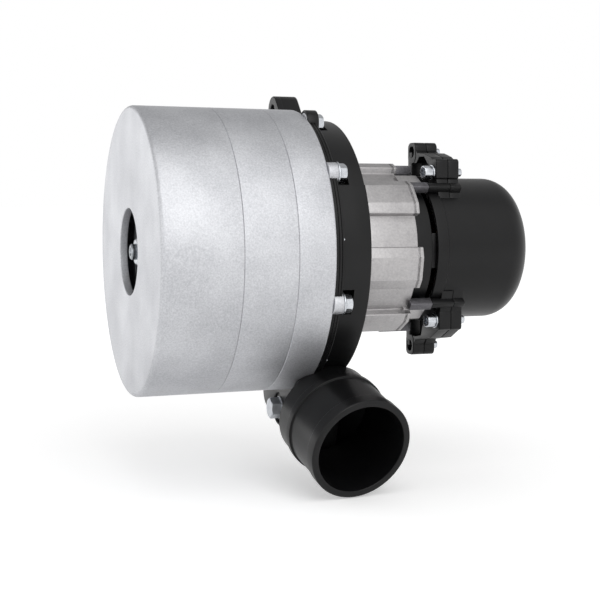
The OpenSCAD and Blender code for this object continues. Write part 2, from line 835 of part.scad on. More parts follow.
module brush_bracket() {
    color("#1c1c1e")
    difference() {
        union() {
            tube(frame_end_x, frame_end_x + bracket_len, bracket_r, bracket_r - bracket_wall);
            tube(frame_end_x - 2.8, frame_end_x, frame_bore_r - seat_gap, bracket_r - bracket_wall);
            tube(rear_plate_x, rear_plate_x + rear_plate, plate_r, rear_bearing_r + 3);
            tube(rear_plate_x, rear_bearing_x + rear_bearing_w, rear_bearing_r + 3.4,
                rear_bearing_r + hub_gap);
            intersection() {
                tube(frame_end_x + bracket_len - 1, rear_plate_x + 1, plate_r, plate_r - bracket_wall);
                for (a = [0, 90]) rotate([a, 0, 0])
                    translate([frame_end_x, -9, -cap_r]) cube([cap_end_x - frame_end_x, 18, 2 * cap_r]);
            }
            for (side = [0, 1]) mirror([0, 0, side])
                translate([tower_from, -tower_y, commutator_r + 4])
                    cube([tower_to - tower_from, 2 * tower_y, brush_outer - commutator_r - 4]);
            lug_pair(lug_front_x, lug_split_x, cap_r + cap_band_rise + 0.4);
            for (side = [0, 1]) mirror([0, 0, side])
                at_x(frame_end_x + foot_len + seat_gap) linear_extrude(lug_split_x - frame_end_x - foot_len - 1)
                    difference() {
                        bar_outline(side);
                        circle(r = cap_r + cap_band_rise + 0.4);
                    }
        }
        brush_slot(brush_gap + brush_wall + seat_gap, 0, brush_outer + 1);
        lug_holes(cap_screw_r + seat_gap);
        rod(frame_end_x - 4, rear_plate_x, commutator_r + 3.9);
    }
}

module brush_tubes() {
    color("#b08d3c")
    difference() {
        brush_slot(brush_gap + brush_wall, commutator_r + 3.4, brush_outer - tube_cap);
        brush_slot(brush_gap, commutator_r, brush_outer + 1);
    }
}

module tube_caps() {
    color("#1c1c1e") brush_slot(brush_gap + brush_wall, brush_outer - tube_cap, brush_outer);
}

module brush(side) {
    tip = commutator_r + 0.05;
    color("#2f2f31")
    difference() {
        translate([brush_x - brush_width / 2, -brush_thick / 2, side > 0 ? commutator_r - 3 : -commutator_r + 3 - brush_len])
            cube([brush_width, brush_thick, brush_len]);
        rod(commutator_x - 5, commutator_x + commutator_len + 5, tip);
    }
}

module brush_top() { brush(1); }
module brush_bottom() { brush(-1); }

// Wire coil that climbs from z = 0 to z = rise; each ring of points lies round the wire
module coil(r, wire, rise, turns, steps = 14, sides = 6) {
    n = turns * steps;
    points = [for (i = [0 : n], j = [0 : sides - 1])
        let (a = 360 * i / steps, b = 360 * j / sides)
        [(r + wire * cos(b)) * cos(a), (r + wire * cos(b)) * sin(a), rise * i / n + wire * sin(b)]];
    walls = [for (i = [0 : n - 1], j = [0 : sides - 1], half = [0, 1])
        let (k = (j + 1) % sides)
        half == 0 ? [i * sides + j, i * sides + k, (i + 1) * sides + k]
                  : [i * sides + j, (i + 1) * sides + k, (i + 1) * sides + j]];
    polyhedron(points, concat(walls, [[for (j = [0 : sides - 1]) sides - 1 - j],
        [for (j = [0 : sides - 1]) n * sides + j]]));
}

module brush_spring(side) {
    from = commutator_r - 3 + brush_len + 0.1 + spring_wire;
    to = brush_outer - tube_cap - 0.1 - spring_wire;
    color("#c9ccd0")
    translate([brush_x, 0, 0]) mirror([0, 0, side > 0 ? 0 : 1])
        translate([0, 0, from]) coil(3.6, spring_wire, to - from, spring_turns);
}

module spring_top() { brush_spring(1); }
module spring_bottom() { brush_spring(-1); }

module cooling_fan() {
    color("#1c1c1e") {
        tube(fan_x, fan_x + fan_len, rear_shaft_r + 4.5, rear_shaft_r + hub_gap);
        tube(fan_x, fan_x + 2, fan_r - 6, rear_shaft_r + 4.4);
        at_x(fan_x) linear_extrude(fan_len - 2)
            for (i = [0 : fan_blades - 1]) rotate(i * 360 / fan_blades)
                blade(rear_shaft_r + 4, fan_r, 30, 1.6);
    }
}

module fan_cover() {
    rim = cap_r + cap_band_rise;
    end = cap_end_x;
    inner = cap_corner - cap_wall;
    color("#1c1c1e")
    difference() {
        union() {
            turned(concat(
                [[cap_r - cap_wall, cap_front_x], [rim, cap_front_x], [rim, cap_front_x + cap_band],
                 [cap_r, cap_front_x + cap_band + 0.6]],
                arc([cap_r - cap_corner, end - cap_corner], cap_corner, 0, 90),
                [[0, end], [0, end - cap_wall]],
                arc([cap_r - cap_corner, end - cap_corner], inner, 90, 0)));
            lug_pair(lug_split_x, lug_split_x + lug_len, cap_r - 1);
        }
        lug_holes(cap_screw_r + seat_gap);
        for (side = [0, 1]) mirror([0, 0, side])
            translate([cap_front_x - 1, -tower_y - 0.4, 20])
                cube([lug_split_x - cap_front_x + 1, 2 * tower_y + 0.8, brush_outer]);
        for (side = [0, 1]) mirror([0, 0, side])
            translate([lug_split_x - 1, -tower_y - 0.4, 20])
                cube([tower_to - lug_split_x + 1.6, 2 * tower_y + 0.8, brush_outer + 0.4 - 20]);
    }
}

// Socket screws: the near heads bear on washers, the far heads lie deep in their lugs
module cap_screw(place, seat, head_len, head_r) {
    tip = lug_split_x + lug_len + screw_tip;
    translate([0, place[0], place[1]])
        difference() {
            turned([[0, seat - head_len], [head_r - 0.5, seat - head_len], [head_r, seat - head_len + 0.5],
                [head_r, seat], [cap_screw_r, seat], [cap_screw_r, tip - 0.9], [cap_screw_r - 0.9, tip],
                [0, tip]]);
            at_x(seat - head_len - 1) cylinder(h = head_len / 2 + 1, r = hex_r(socket_across * head_r / near_head_r),
                $fn = 6);
        }
}

module cap_screws() {
    color("#c9ccd0")
    for (side = [0, 1]) mirror([0, 0, side]) {
        cap_screw(lug_near(side), lug_front_x - spacer_len, near_head_len, near_head_r);
        cap_screw(lug_far(side), far_seat_x, far_head_len, far_head_r);
    }
}

// Washers under the near heads
module cap_spacers() {
    color("#c9ccd0")
    for (side = [0, 1]) mirror([0, 0, side])
        translate([0, lug_near(side)[0], lug_near(side)[1]])
            tube(lug_front_x - spacer_len, lug_front_x, near_head_r, cap_screw_r + seat_gap);
}

inlet_shell();
middle_shell();
rear_shell();
exhaust_housing();
flange_screws();
ear_bolt();
ear_nut();
impeller_1();
impeller_2();
impeller_3();
diffuser_1();
diffuser_2();
fan_nut();
nut_washer();
spacer_1();
spacer_2();
spacer_3();
shaft();
shaft_seal();
front_bearing_outer();
front_bearing_inner();
front_bearing_balls();
rear_bearing_outer();
rear_bearing_inner();
rear_bearing_balls();
wave_washer();
motor_frame();
frame_screws();
flux_ring();
magnets();
armature_core();
armature_windings();
commutator();
brush_bracket();
brush_tubes();
brush_top();
brush_bottom();
spring_top();
spring_bottom();
tube_caps();
cooling_fan();
fan_cover();
cap_screws();
cap_spacers();
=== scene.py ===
# %% [markdown]
# # A three-stage vacuum motor with a tangential outlet
#
# The motor is a stack of cast aluminium shells on a black moulded exhaust housing, with a die-cast
# motor frame behind it and a black cap over the brushes and the cooling fan. Air enters at the hole
# in the front face and leaves through the round outlet below.
#
# The CAD model is loaded first and stays as it is. It fixes every size and place, so each new piece
# is made in the same frame: X along the shaft, Z up, metres.

import json
import math

import bmesh
import bpy
import numpy as np
from mathutils import Matrix, Vector
from mathutils.geometry import tessellate_polygon


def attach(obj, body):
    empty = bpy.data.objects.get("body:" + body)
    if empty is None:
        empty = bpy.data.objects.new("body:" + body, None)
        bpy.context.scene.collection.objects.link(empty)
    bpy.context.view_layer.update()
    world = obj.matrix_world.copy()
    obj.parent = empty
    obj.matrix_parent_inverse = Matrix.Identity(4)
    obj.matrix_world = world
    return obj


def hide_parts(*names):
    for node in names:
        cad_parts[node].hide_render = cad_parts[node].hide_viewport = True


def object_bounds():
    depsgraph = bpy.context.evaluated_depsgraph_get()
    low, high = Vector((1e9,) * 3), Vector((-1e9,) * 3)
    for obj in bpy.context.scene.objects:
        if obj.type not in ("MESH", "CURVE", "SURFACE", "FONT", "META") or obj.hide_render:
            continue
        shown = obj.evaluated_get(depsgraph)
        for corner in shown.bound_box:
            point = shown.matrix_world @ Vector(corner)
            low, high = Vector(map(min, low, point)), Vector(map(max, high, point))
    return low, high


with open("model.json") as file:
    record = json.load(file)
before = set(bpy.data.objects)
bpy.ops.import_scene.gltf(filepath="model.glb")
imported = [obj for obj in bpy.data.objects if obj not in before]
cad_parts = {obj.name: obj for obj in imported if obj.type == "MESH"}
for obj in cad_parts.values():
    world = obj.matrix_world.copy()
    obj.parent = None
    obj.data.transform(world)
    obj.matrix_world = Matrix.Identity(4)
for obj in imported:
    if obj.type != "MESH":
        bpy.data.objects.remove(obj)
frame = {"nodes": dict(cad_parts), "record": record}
cad_low, cad_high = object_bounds()
print("CAD box:", [round(v, 4) for v in cad_low], [round(v, 4) for v in cad_high])

# %% [markdown]
# ## The camera
#
# The picture was taken from the inlet side and a little above, with a long lens, so the front face
# shows as a narrow ellipse and the drum behind it hides half of its own screws. The place of the lens
# was worked out from the ellipses of the case and from the shaft's slant in the picture.

# %% Camera
lens_place = Vector((-0.1324, -0.6457, 0.0251))
look_at = Vector((0.09055, 0.0, -0.0263))
camera_data = bpy.data.cameras.new("studio_camera")
camera_data.lens = 78.6
camera_data.sensor_width = 36
camera_data.clip_start = 0.01
camera = bpy.data.objects.new("studio_camera", camera_data)
camera.location = lens_place
camera.rotation_euler = (look_at - lens_place).to_track_quat("-Z", "Y").to_euler()
bpy.context.scene.collection.objects.link(camera)
bpy.context.scene.camera = camera
print("camera distance:", round((look_at - lens_place).length, 3), "m")

# %% [markdown]
# ## Colours and shader nodes
#
# Colours are written as the hex codes of a picture editor and turned to linear light by one function.
# One more function adds any shader node with its settings, its values and what feeds it, so that each
# material reads as a short list of its own steps.

# %% Colour and node helpers
def linear(hex_code):
    """Linear colour of an sRGB hex code: each channel is divided by 12.92 when dark, else
    ((c + 0.055) / 1.055) ** 2.4."""
    srgb = np.array([int(hex_code[i:i + 2], 16) for i in (1, 3, 5)]) / 255
    rgb = np.where(srgb <= 0.04045, srgb / 12.92, ((srgb + 0.055) / 1.055) ** 2.4)
    return (*rgb.tolist(), 1.0)


def add_node(tree, kind, options=None, values=None, links=None):
    """Adds one shader node: options are its own settings, values fill its sockets, links feed them."""
    node = tree.nodes.new(kind)
    for name, value in (options or {}).items():
        setattr(node, name, value)
    for name, value in (values or {}).items():
        node.inputs[name].default_value = value
    for name, socket in (links or {}).items():
        tree.links.new(socket, node.inputs[name])
    return node


def new_finish(name, **values):
    """A material with one Principled shader; values are that shader's own sockets."""
    material = bpy.data.materials.new(name)
    material.use_nodes = True
    tree = material.node_tree
    shader = tree.nodes["Principled BSDF"]
    for key, value in values.items():
        shader.inputs[key.replace("_", " ")].default_value = value
    place = add_node(tree, "ShaderNodeTexCoord").outputs["Object"]
    return material, tree, shader, place


def per_mm(size_mm):
    """Noise scale at which one patch of the pattern is about size_mm wide on the object."""
    return 1000.0 / size_mm


print("black moulding in linear light:", [round(c, 4) for c in linear("#1C1C1E")])

# %% [markdown]
# ## The studio
#
# The picture has a white ground that only darkens under the motor. The floor is matt white board, and
# a glow that the camera and reflections alone can see lifts it to white, so the soft shadow stays;
# the glow is a little stronger away from the motor, where the lamps no longer reach.
# The world does the same behind it. A brighter lamp could make the floor white as well, but it would
# burn out the pale castings.

# %% Floor and world
def seen_only(tree):
    """1 where a camera, mirror or glass ray looks, 0 for the light that falls on the motor."""
    ray = add_node(tree, "ShaderNodeLightPath")
    both = add_node(tree, "ShaderNodeMath", {"operation": "ADD", "use_clamp": True},
                    links={0: ray.outputs["Is Camera Ray"], 1: ray.outputs["Is Transmission Ray"]})
    return add_node(tree, "ShaderNodeMath", {"operation": "ADD", "use_clamp": True},
                    links={0: both.outputs[0], 1: ray.outputs["Is Glossy Ray"]}).outputs[0]


floor_z, floor_half = cad_low.z - 0.0003, 30
floor_corners = [(-floor_half, -floor_half, floor_z), (floor_half, -floor_half, floor_z),
                 (floor_half, floor_half, floor_z), (-floor_half, floor_half, floor_z)]
floor_mesh = bpy.data.meshes.new("studio_floor")
floor_mesh.from_pydata(floor_corners, [], [(0, 1, 2, 3)])
floor = bpy.data.objects.new("studio_floor", floor_mesh)
bpy.context.scene.collection.objects.link(floor)
floor_material, tree, shader, _ = new_finish("matt white studio board", Roughness=0.9)
shader.inputs["Base Color"].default_value = linear("#F4F4F4")
shader.inputs["Specular IOR Level"].default_value = 0.0
shader.inputs["Emission Color"].default_value = (1, 1, 1, 1)
place = add_node(tree, "ShaderNodeTexCoord").outputs["Object"]
distance = add_node(tree, "ShaderNodeVectorMath", {"operation": "LENGTH"}, links={0: place})
level = add_node(tree, "ShaderNodeMapRange", {"interpolation_type": "SMOOTHSTEP"},
                 {"From Min": 0.1, "From Max": 0.9, "To Min": 0.36, "To Max": 0.62},
                 {"Value": distance.outputs["Value"]})
glow = add_node(tree, "ShaderNodeMath", {"operation": "MULTIPLY"},
                links={0: seen_only(tree), 1: level.outputs["Result"]})
tree.links.new(glow.outputs[0], shader.inputs["Emission Strength"])
floor.data.materials.append(floor_material)

world = bpy.data.worlds.new("studio_world")
bpy.context.scene.world = world
world.use_nodes = True
tree = world.node_tree
tree.nodes.clear()
soft_light = add_node(tree, "ShaderNodeBackground", values={"Color": (1, 1, 1, 1), "Strength": 0.5})
white = add_node(tree, "ShaderNodeBackground", values={"Color": (1, 1, 1, 1), "Strength": 1.0})
mixed = add_node(tree, "ShaderNodeMixShader",
                 links={0: seen_only(tree), 1: soft_light.outputs[0], 2: white.outputs[0]})
add_node(tree, "ShaderNodeOutputWorld", links={"Surface": mixed.outputs[0]})
print("floor at", round(floor_z, 4), "m")

# %% [markdown]
# ## Soft boxes and a grey card
#
# Four soft boxes light the motor. One in front and one higher up draw the broad pale band along the
# case, and two at the left light the front face. Bare metal shows what is around it, so a grey card
# hangs over the motor and behind it, out of the picture: the top of the case is a darker grey for
# that reason. A picture of a studio wrapped round the scene would do too, but lamps and a card can be
# moved one by one.

# %% Card and lamps
card_mesh = bpy.data.meshes.new("grey_card")
card_mesh.from_pydata([(-2.2, -0.25, 0.95), (2.2, -0.25, 0.95), (2.2, 2.6, 0.75), (-2.2, 2.6, 0.75)],
                      [], [(0, 3, 2, 1)])
card = bpy.data.objects.new("grey_card", card_mesh)
card.visible_camera = False
bpy.context.scene.collection.objects.link(card)
card_material, tree, shader, _ = new_finish("grey felt card", Roughness=0.95)
shader.inputs["Base Color"].default_value = linear("#3A3A3A")
shader.inputs["Specular IOR Level"].default_value = 0.0
shader.inputs["Emission Color"].default_value = (1, 1, 1, 1)
shader.inputs["Emission Strength"].default_value = 0.5
card.data.materials.append(card_material)


def soft_box(name, place, aim, size, power):
    """A square area lamp at place, turned to face aim; places in metres, power in watts."""
    data = bpy.data.lights.new(name, "AREA")
    data.shape = "SQUARE"
    data.size = size
    data.energy = power
    lamp = bpy.data.objects.new(name, data)
    lamp.location = place
    lamp.rotation_euler = (Vector(aim) - Vector(place)).to_track_quat("-Z", "Y").to_euler()
    bpy.context.scene.collection.objects.link(lamp)


soft_box("key_soft_box", (0.1, -1.1, 0.5), (0.08, 0, 0), 0.6, 2.15)
soft_box("top_soft_box", (0.0, -0.75, 0.95), (0.08, 0, 0), 0.9, 3.4)
soft_box("front_soft_box", (-1.1, -0.35, 0.35), (0.05, 0, 0), 0.7, 1.8)
soft_box("side_soft_box", (-1.0, 1.3, 0.35), (0.02, 0, 0), 0.8, 3.4)
bpy.context.scene.view_settings.view_transform = "Standard"
print("four lamps and a card")

# %% [markdown]
# ## Surfaces from arrays
#
# Every new piece is a closed surface worked out with numpy and put into a mesh in one step. Three
# kinds are enough for this motor: a profile turned about an axis, an outline carried along the shaft
# with rounded edges, and a loft from one outline to another. All lengths are in millimetres here,
# because the drawing is, and the last step turns them into metres.

# %% Mesh helpers
def unit(v):
    """Each row divided by its length."""
    return v / np.linalg.norm(v, axis=-1, keepdims=True)


def grid_quads(rows, columns, close_rows=False):
    """Quads between neighbours of a grid that is numbered row by row. Each row runs round and meets
    itself, and closed rows join the last row to the first as well."""
    i = np.arange(rows if close_rows else rows - 1)[:, None]
    j = np.arange(columns)[None, :]
    i_next, j_next = (i + 1) % rows, (j + 1) % columns
    corners = [i * columns + j, i * columns + j_next, i_next * columns + j_next, i_next * columns + j]
    return np.stack(np.broadcast_arrays(*corners), axis=-1).reshape(-1, 4)


def outward(points, quads, triangles=np.zeros((0, 3), int)):
    """Turns a closed surface right side out. Its volume is the sum of p0 . (p1 x p2) / 6 over its
    triangles, and is negative when the faces point inwards."""
    fan = np.concatenate([quads[:, [0, 1, 2]], quads[:, [0, 2, 3]], triangles])
    a, b, c = points[fan[:, 0]], points[fan[:, 1]], points[fan[:, 2]]
    volume = np.einsum("ij,ij->i", a, np.cross(b, c)).sum() / 6
    if volume < 0:
        quads, triangles = quads[:, ::-1], triangles[:, ::-1]
    return points, quads, triangles


def joined(surfaces):
    """Several surfaces as one, each keeping its own points."""
    starts = np.cumsum([0] + [len(s[0]) for s in surfaces])
    return (np.concatenate([s[0] for s in surfaces]),
            np.concatenate([s[1] + k for s, k in zip(surfaces, starts)]),
            np.concatenate([s[2] + k for s, k in zip(surfaces, starts)]))


def make_piece(name, surface, material, body="root", replaces=(), sharp=32):
    """Puts a surface (in mm) into a mesh in metres and merges the points of its poles. The quads are
    shaded smooth except at edges sharper than the given angle, the triangles of flat ends stay flat,
    and the piece rides on a body of the CAD model."""
    points, quads, triangles = surface
    mesh = bpy.data.meshes.new(name)
    mesh.from_pydata((points * 0.001).tolist(), [], quads.tolist() + triangles.tolist())
    mesh.polygons.foreach_set("use_smooth", np.arange(len(mesh.polygons)) < len(quads))
    work = bmesh.new()
    work.from_mesh(mesh)
    bmesh.ops.remove_doubles(work, verts=work.verts, dist=2e-7)
    work.to_mesh(mesh)
    work.free()
    mesh.set_sharp_from_angle(angle=math.radians(sharp))
    mesh.materials.append(material)
    piece = bpy.data.objects.new(name, mesh)
    bpy.context.scene.collection.objects.link(piece)
    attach(piece, body)
    if replaces:
        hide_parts(*replaces)
    print(f"{name}: {len(mesh.polygons)} faces")
    return piece


print("a grid of 2 rows and 8 columns has", len(grid_quads(2, 8)), "quads round it")

# %% [markdown]
# ## Outlines, profiles and plates
#
# A drawing gives a casting or a moulding as corners with radii, so that is how the outlines are
# written here, and the arcs are worked out. A profile turned about an axis makes the round pieces, and
# an outline carried along the shaft makes the flat ones. Modifiers such as Screw, Solidify and Bevel
# could do the same, but then the radii would no longer be in one place.

# %% Outlines
def rounded(corners, radii, steps=6):
    """Closed polygon with an arc at each corner. The arc's centre lies on the corner's bisector at
    r / sin(half the corner's angle), and the arc swings evenly from one edge to the next."""
    corners = np.asarray(corners, float)
    radius = np.broadcast_to(np.asarray(radii, float), (len(corners),))[:, None]
    to_last = unit(np.roll(corners, 1, 0) - corners)
    to_next = unit(np.roll(corners, -1, 0) - corners)
    half = np.arccos(np.clip((to_last * to_next).sum(1), -1, 1))[:, None] / 2
    centre = corners + unit(to_last + to_next) * radius / np.sin(half)
    first = corners + to_last * radius / np.tan(half) - centre
    last = corners + to_next * radius / np.tan(half) - centre
    sweep = (np.pi - 2 * half)[:, None, :]
    part = np.linspace(0, 1, steps + 1)[None, :, None]
    swung = np.sin((1 - part) * sweep) * first[:, None] + np.sin(part * sweep) * last[:, None]
    return (centre[:, None] + swung / np.sin(sweep)).reshape(-1, 2)


def circle(centre, r, count=48):
    """Points of a circle, anticlockwise."""
    a = np.linspace(0, 2 * np.pi, count, endpoint=False)
    return np.asarray(centre, float) + r * np.stack([np.cos(a), np.sin(a)], 1)


def signed_area(loop):
    """Half the sum of the cross products of a loop's edges; positive when it runs anticlockwise."""
    following = np.roll(loop, -1, 0)
    return (loop[:, 0] * following[:, 1] - loop[:, 1] * following[:, 0]).sum() / 2


def inset(loop, distance):
    """A loop moved to its left by a distance: each point goes along the mean of its two edges'
    normals, divided by the cosine of half the turn."""
    edge = unit(np.roll(loop, -1, 0) - loop)
    left = np.stack([-edge[:, 1], edge[:, 0]], 1)
    mean = unit(left + np.roll(left, 1, 0))
    return loop + mean * distance / (mean * left).sum(1, keepdims=True)


print("area of a circle of radius 1 in 48 points:", round(signed_area(circle((0, 0), 1)), 4))

# %% Turned pieces and places on the case
def turned(profile, count=192, place=(0.0, 0.0)):
    """A closed profile of (x, r) turned about a line parallel to the shaft:
    point(i, a) = (x_i, place_y - r_i cos a, place_z + r_i sin a)."""
    profile = np.asarray(profile, float)
    a = np.linspace(0, 2 * np.pi, count, endpoint=False)[None, :]
    x, r = profile[:, :1], profile[:, 1:]
    points = np.stack([x + 0 * a, place[0] - r * np.cos(a), place[1] + r * np.sin(a)], -1)
    return outward(points.reshape(-1, 3), grid_quads(len(profile), count, close_rows=True))


def moved(surface, matrix):
    """A surface taken through a 4 x 4 matrix."""
    points, quads, triangles = surface
    return points @ matrix[:3, :3].T + matrix[:3, 3], quads, triangles


def on_case(angle, r):
    """(y, z) of a point at a radius, with the angle counted from the near side upwards."""
    a = np.radians(angle)
    return np.array([-r * np.cos(a), r * np.sin(a)])


print("the top of a circle of radius 10:", on_case(90, 10).round(3))

# %% Plates
def end_triangles(rings):
    """Triangles that fill the first ring round the holes of the others, numbered through all the
    rings. They run anticlockwise seen against X, and those without area are left out."""
    flat = np.array(tessellate_polygon([[Vector(point) for point in ring] for ring in rings]))
    yz = np.concatenate(rings)[:, 1:]
    a, b, c = yz[flat[:, 0]], yz[flat[:, 1]], yz[flat[:, 2]]
    turn = (b[:, 0] - a[:, 0]) * (c[:, 1] - a[:, 1]) - (b[:, 1] - a[:, 1]) * (c[:, 0] - a[:, 0])
    flat[turn < 0] = flat[turn < 0][:, ::-1]
    return flat[np.abs(turn) > 1e-9]


def plate(outline, x_from, x_to, edge=0.4, holes=(), steps=3):
    """An outline in (y, z), with holes, carried along the shaft. Towards both ends it draws in by
    edge (1 - sin t) while x moves by edge (1 - cos t), which rounds the edges. Seen against X the
    outline runs anticlockwise and the holes clockwise, so that all the walls face outwards."""
    t = np.linspace(0, np.pi / 2, steps + 1)
    draw = np.concatenate([edge * (1 - np.sin(t)), edge * (1 - np.sin(t[::-1]))])
    xs = np.concatenate([x_from + edge * (1 - np.cos(t)), x_to - edge * (1 - np.cos(t[::-1]))])
    loops = [outline if signed_area(outline) > 0 else outline[::-1]]
    loops += [hole if signed_area(hole) < 0 else hole[::-1] for hole in holes]
    walls, first_rings = [], []
    for loop in loops:
        rings = np.stack([np.column_stack([np.full(len(loop), x), inset(loop, d)])
                          for x, d in zip(xs, draw)])
        walls.append((rings.reshape(-1, 3), grid_quads(len(xs), len(loop)), np.zeros((0, 3), int)))
        first_rings.append(rings[0])
    points, quads, _ = joined(walls)
    starts = np.cumsum([0] + [len(wall[0]) for wall in walls])[:-1]
    front = np.concatenate([k + np.arange(len(loop)) for k, loop in zip(starts, loops)])
    back = np.concatenate([k + (len(xs) - 1) * len(loop) + np.arange(len(loop))
                           for k, loop in zip(starts, loops)])
    flat = end_triangles(first_rings)
    return outward(points, quads, np.concatenate([front[flat][:, ::-1], back[flat]]))


print("a disc of radius 5 and 2 thick:", len(plate(circle((0, 0), 5), 0, 2)[1]), "quads in its wall")

# %% [markdown]
# ## Blasted aluminium
#
# The shells are cast aluminium, blasted with fine grit and left bare. The eye sees a pale, slightly
# blue grey without any mirror image, a very fine grain, and faint cloudy patches where the blasting
# was uneven. A photograph of a casting could be wrapped round them, but noise on the piece's own
# coordinates has no seam, and its size stays a size in millimetres.

# %% Blasted aluminium
def cast_aluminium(name, pale, dark, roughness, grain_mm, grain_height, patch_mm):
    """Bare cast aluminium: a metal whose colour drifts in large patches, with a fine grain in its
    colour, its roughness and its height. Sizes are in millimetres."""
    material, tree, shader, place = new_finish(name, Metallic=1.0)
    patches = add_node(tree, "ShaderNodeTexNoise", {}, {"Scale": per_mm(patch_mm), "Detail": 3.0},
                       {"Vector": place})
    grain = add_node(tree, "ShaderNodeTexNoise", {}, {"Scale": per_mm(grain_mm), "Detail": 2.0,
                                                      "Roughness": 0.7}, {"Vector": place})
    blend = add_node(tree, "ShaderNodeMix", {"data_type": "FLOAT"}, {0: 0.62},
                     {2: patches.outputs["Fac"], 3: grain.outputs["Fac"]})
    ramp = add_node(tree, "ShaderNodeValToRGB", links={"Fac": blend.outputs[0]})
    ramp.color_ramp.elements[0].position = 0.34
    ramp.color_ramp.elements[1].position = 0.66
    ramp.color_ramp.elements[0].color = linear(dark)
    ramp.color_ramp.elements[1].color = linear(pale)
    tree.links.new(ramp.outputs["Color"], shader.inputs["Base Color"])
    rough = add_node(tree, "ShaderNodeMapRange", {}, {"To Min": roughness - 0.05, "To Max": roughness + 0.07},
                     {"Value": grain.outputs["Fac"]})
    tree.links.new(rough.outputs["Result"], shader.inputs["Roughness"])
    bump = add_node(tree, "ShaderNodeBump", {}, {"Strength": 0.5, "Distance": grain_height * 0.001},
                    {"Height": grain.outputs["Fac"]})
    tree.links.new(bump.outputs["Normal"], shader.inputs["Normal"])
    return material


# Grit leaves pits of 0.2 mm, which are too fine to show: the grain is drawn 0.8 mm wide.
blasted_aluminium = cast_aluminium("blasted cast aluminium", "#D0D1D4", "#AEAFB3", 0.55, 0.8, 0.06, 26)
# The frame is left as it came from the die: warmer, coarser and more patchy.
die_cast_aluminium = cast_aluminium("die cast aluminium", "#BAB8B8", "#A3A1A2", 0.46, 1.1, 0.07, 9)
# The feet get a darker colour than its ribs, which is painted shade, and they are grainier.
painted_shade_casting = cast_aluminium("die cast feet with painted shade", "#77767A", "#5C5B5E", 0.5, 0.9, 0.09, 5)
print("blasted aluminium and die cast aluminium made")

# %% [markdown]
# ## Black mouldings
#
# Housing, bracket and cap are black glass-filled nylon. The mould is spark eroded, which leaves a fine
# even grain: the surface is satin, so it picks up a soft sheen on top and stays near black below.
# One rough dark shader would look like rubber; the grain in the height gives the sheen its soft edge.

# %% Black moulding
def black_moulding_finish(name, colour, roughness, grain_mm, height):
    """Satin black plastic: one colour with a faint drift, and a fine eroded grain in its height. The
    grain breaks up most of the mirror reflection, so the specular level is below the usual half."""
    material, tree, shader, place = new_finish(name, IOR=1.5, Specular_IOR_Level=0.27)
    grain = add_node(tree, "ShaderNodeTexNoise", {}, {"Scale": per_mm(grain_mm), "Detail": 3.0,
                                                      "Roughness": 0.6}, {"Vector": place})
    drift = add_node(tree, "ShaderNodeTexNoise", {}, {"Scale": per_mm(18), "Detail": 2.0},
                     {"Vector": place})
    ramp = add_node(tree, "ShaderNodeValToRGB", links={"Fac": drift.outputs["Fac"]})
    ramp.color_ramp.elements[0].position = 0.35
    ramp.color_ramp.elements[1].position = 0.7
    ramp.color_ramp.elements[0].color = linear(colour[0])
    ramp.color_ramp.elements[1].color = linear(colour[1])
    tree.links.new(ramp.outputs["Color"], shader.inputs["Base Color"])
    rough = add_node(tree, "ShaderNodeMapRange", {}, {"To Min": roughness - 0.06, "To Max": roughness + 0.06},
                     {"Value": grain.outputs["Fac"]})
    tree.links.new(rough.outputs["Result"], shader.inputs["Roughness"])
    bump = add_node(tree, "ShaderNodeBump", {}, {"Strength": 0.35, "Distance": height * 0.001},
                    {"Height": grain.outputs["Fac"]})
    tree.links.new(bump.outputs["Normal"], shader.inputs["Normal"])
    return material


# The eroded grain is 0.1 mm wide on the real part; here it is drawn 0.6 mm wide so that it shows.
satin_nylon = black_moulding_finish("satin black nylon", ("#0C0C0D", "#111112"), 0.36, 0.6, 0.015)
print("satin black nylon made")

# %% [markdown]
# ## Zinc, steel and the inner finishes
#
# Screws and nuts are steel with a thin bright zinc plating, which is pale, slightly blue and smoother
# than the castings. The pieces inside are seen only through the inlet hole or when the motor is taken
# apart, so each gets the finish of its own trade: pressed sheet, turned steel, laminations, copper.
# They differ in colour, roughness and the way their marks run, so one function makes them all.

# %% Bright metals
def metal_finish(name, pale, dark, roughness, streak_mm, stretch=(1, 1, 1), height=0.01):
    """A plated, turned or pressed metal: fine streaks or specks between two colours. The stretch
    makes the pattern longer along an axis, as tool marks are."""
    material, tree, shader, place = new_finish(name, Metallic=1.0)
    mapping = add_node(tree, "ShaderNodeMapping", {}, {"Scale": stretch}, {"Vector": place})
    marks = add_node(tree, "ShaderNodeTexNoise", {}, {"Scale": per_mm(streak_mm), "Detail": 3.0},
                     {"Vector": mapping.outputs[0]})
    ramp = add_node(tree, "ShaderNodeValToRGB", links={"Fac": marks.outputs["Fac"]})
    ramp.color_ramp.elements[0].position = 0.35
    ramp.color_ramp.elements[1].position = 0.65
    ramp.color_ramp.elements[0].color = linear(dark)
    ramp.color_ramp.elements[1].color = linear(pale)
    tree.links.new(ramp.outputs["Color"], shader.inputs["Base Color"])
    rough = add_node(tree, "ShaderNodeMapRange", {}, {"To Min": roughness - 0.05, "To Max": roughness + 0.08},
                     {"Value": marks.outputs["Fac"]})
    tree.links.new(rough.outputs["Result"], shader.inputs["Roughness"])
    bump = add_node(tree, "ShaderNodeBump", {}, {"Strength": 0.3, "Distance": height * 0.001},
                    {"Height": marks.outputs["Fac"]})
    tree.links.new(bump.outputs["Normal"], shader.inputs["Normal"])
    return material


zinc_plate = metal_finish("bright zinc plated steel", "#CDD0D4", "#BCBFC4", 0.24, 2.4, height=0.004)
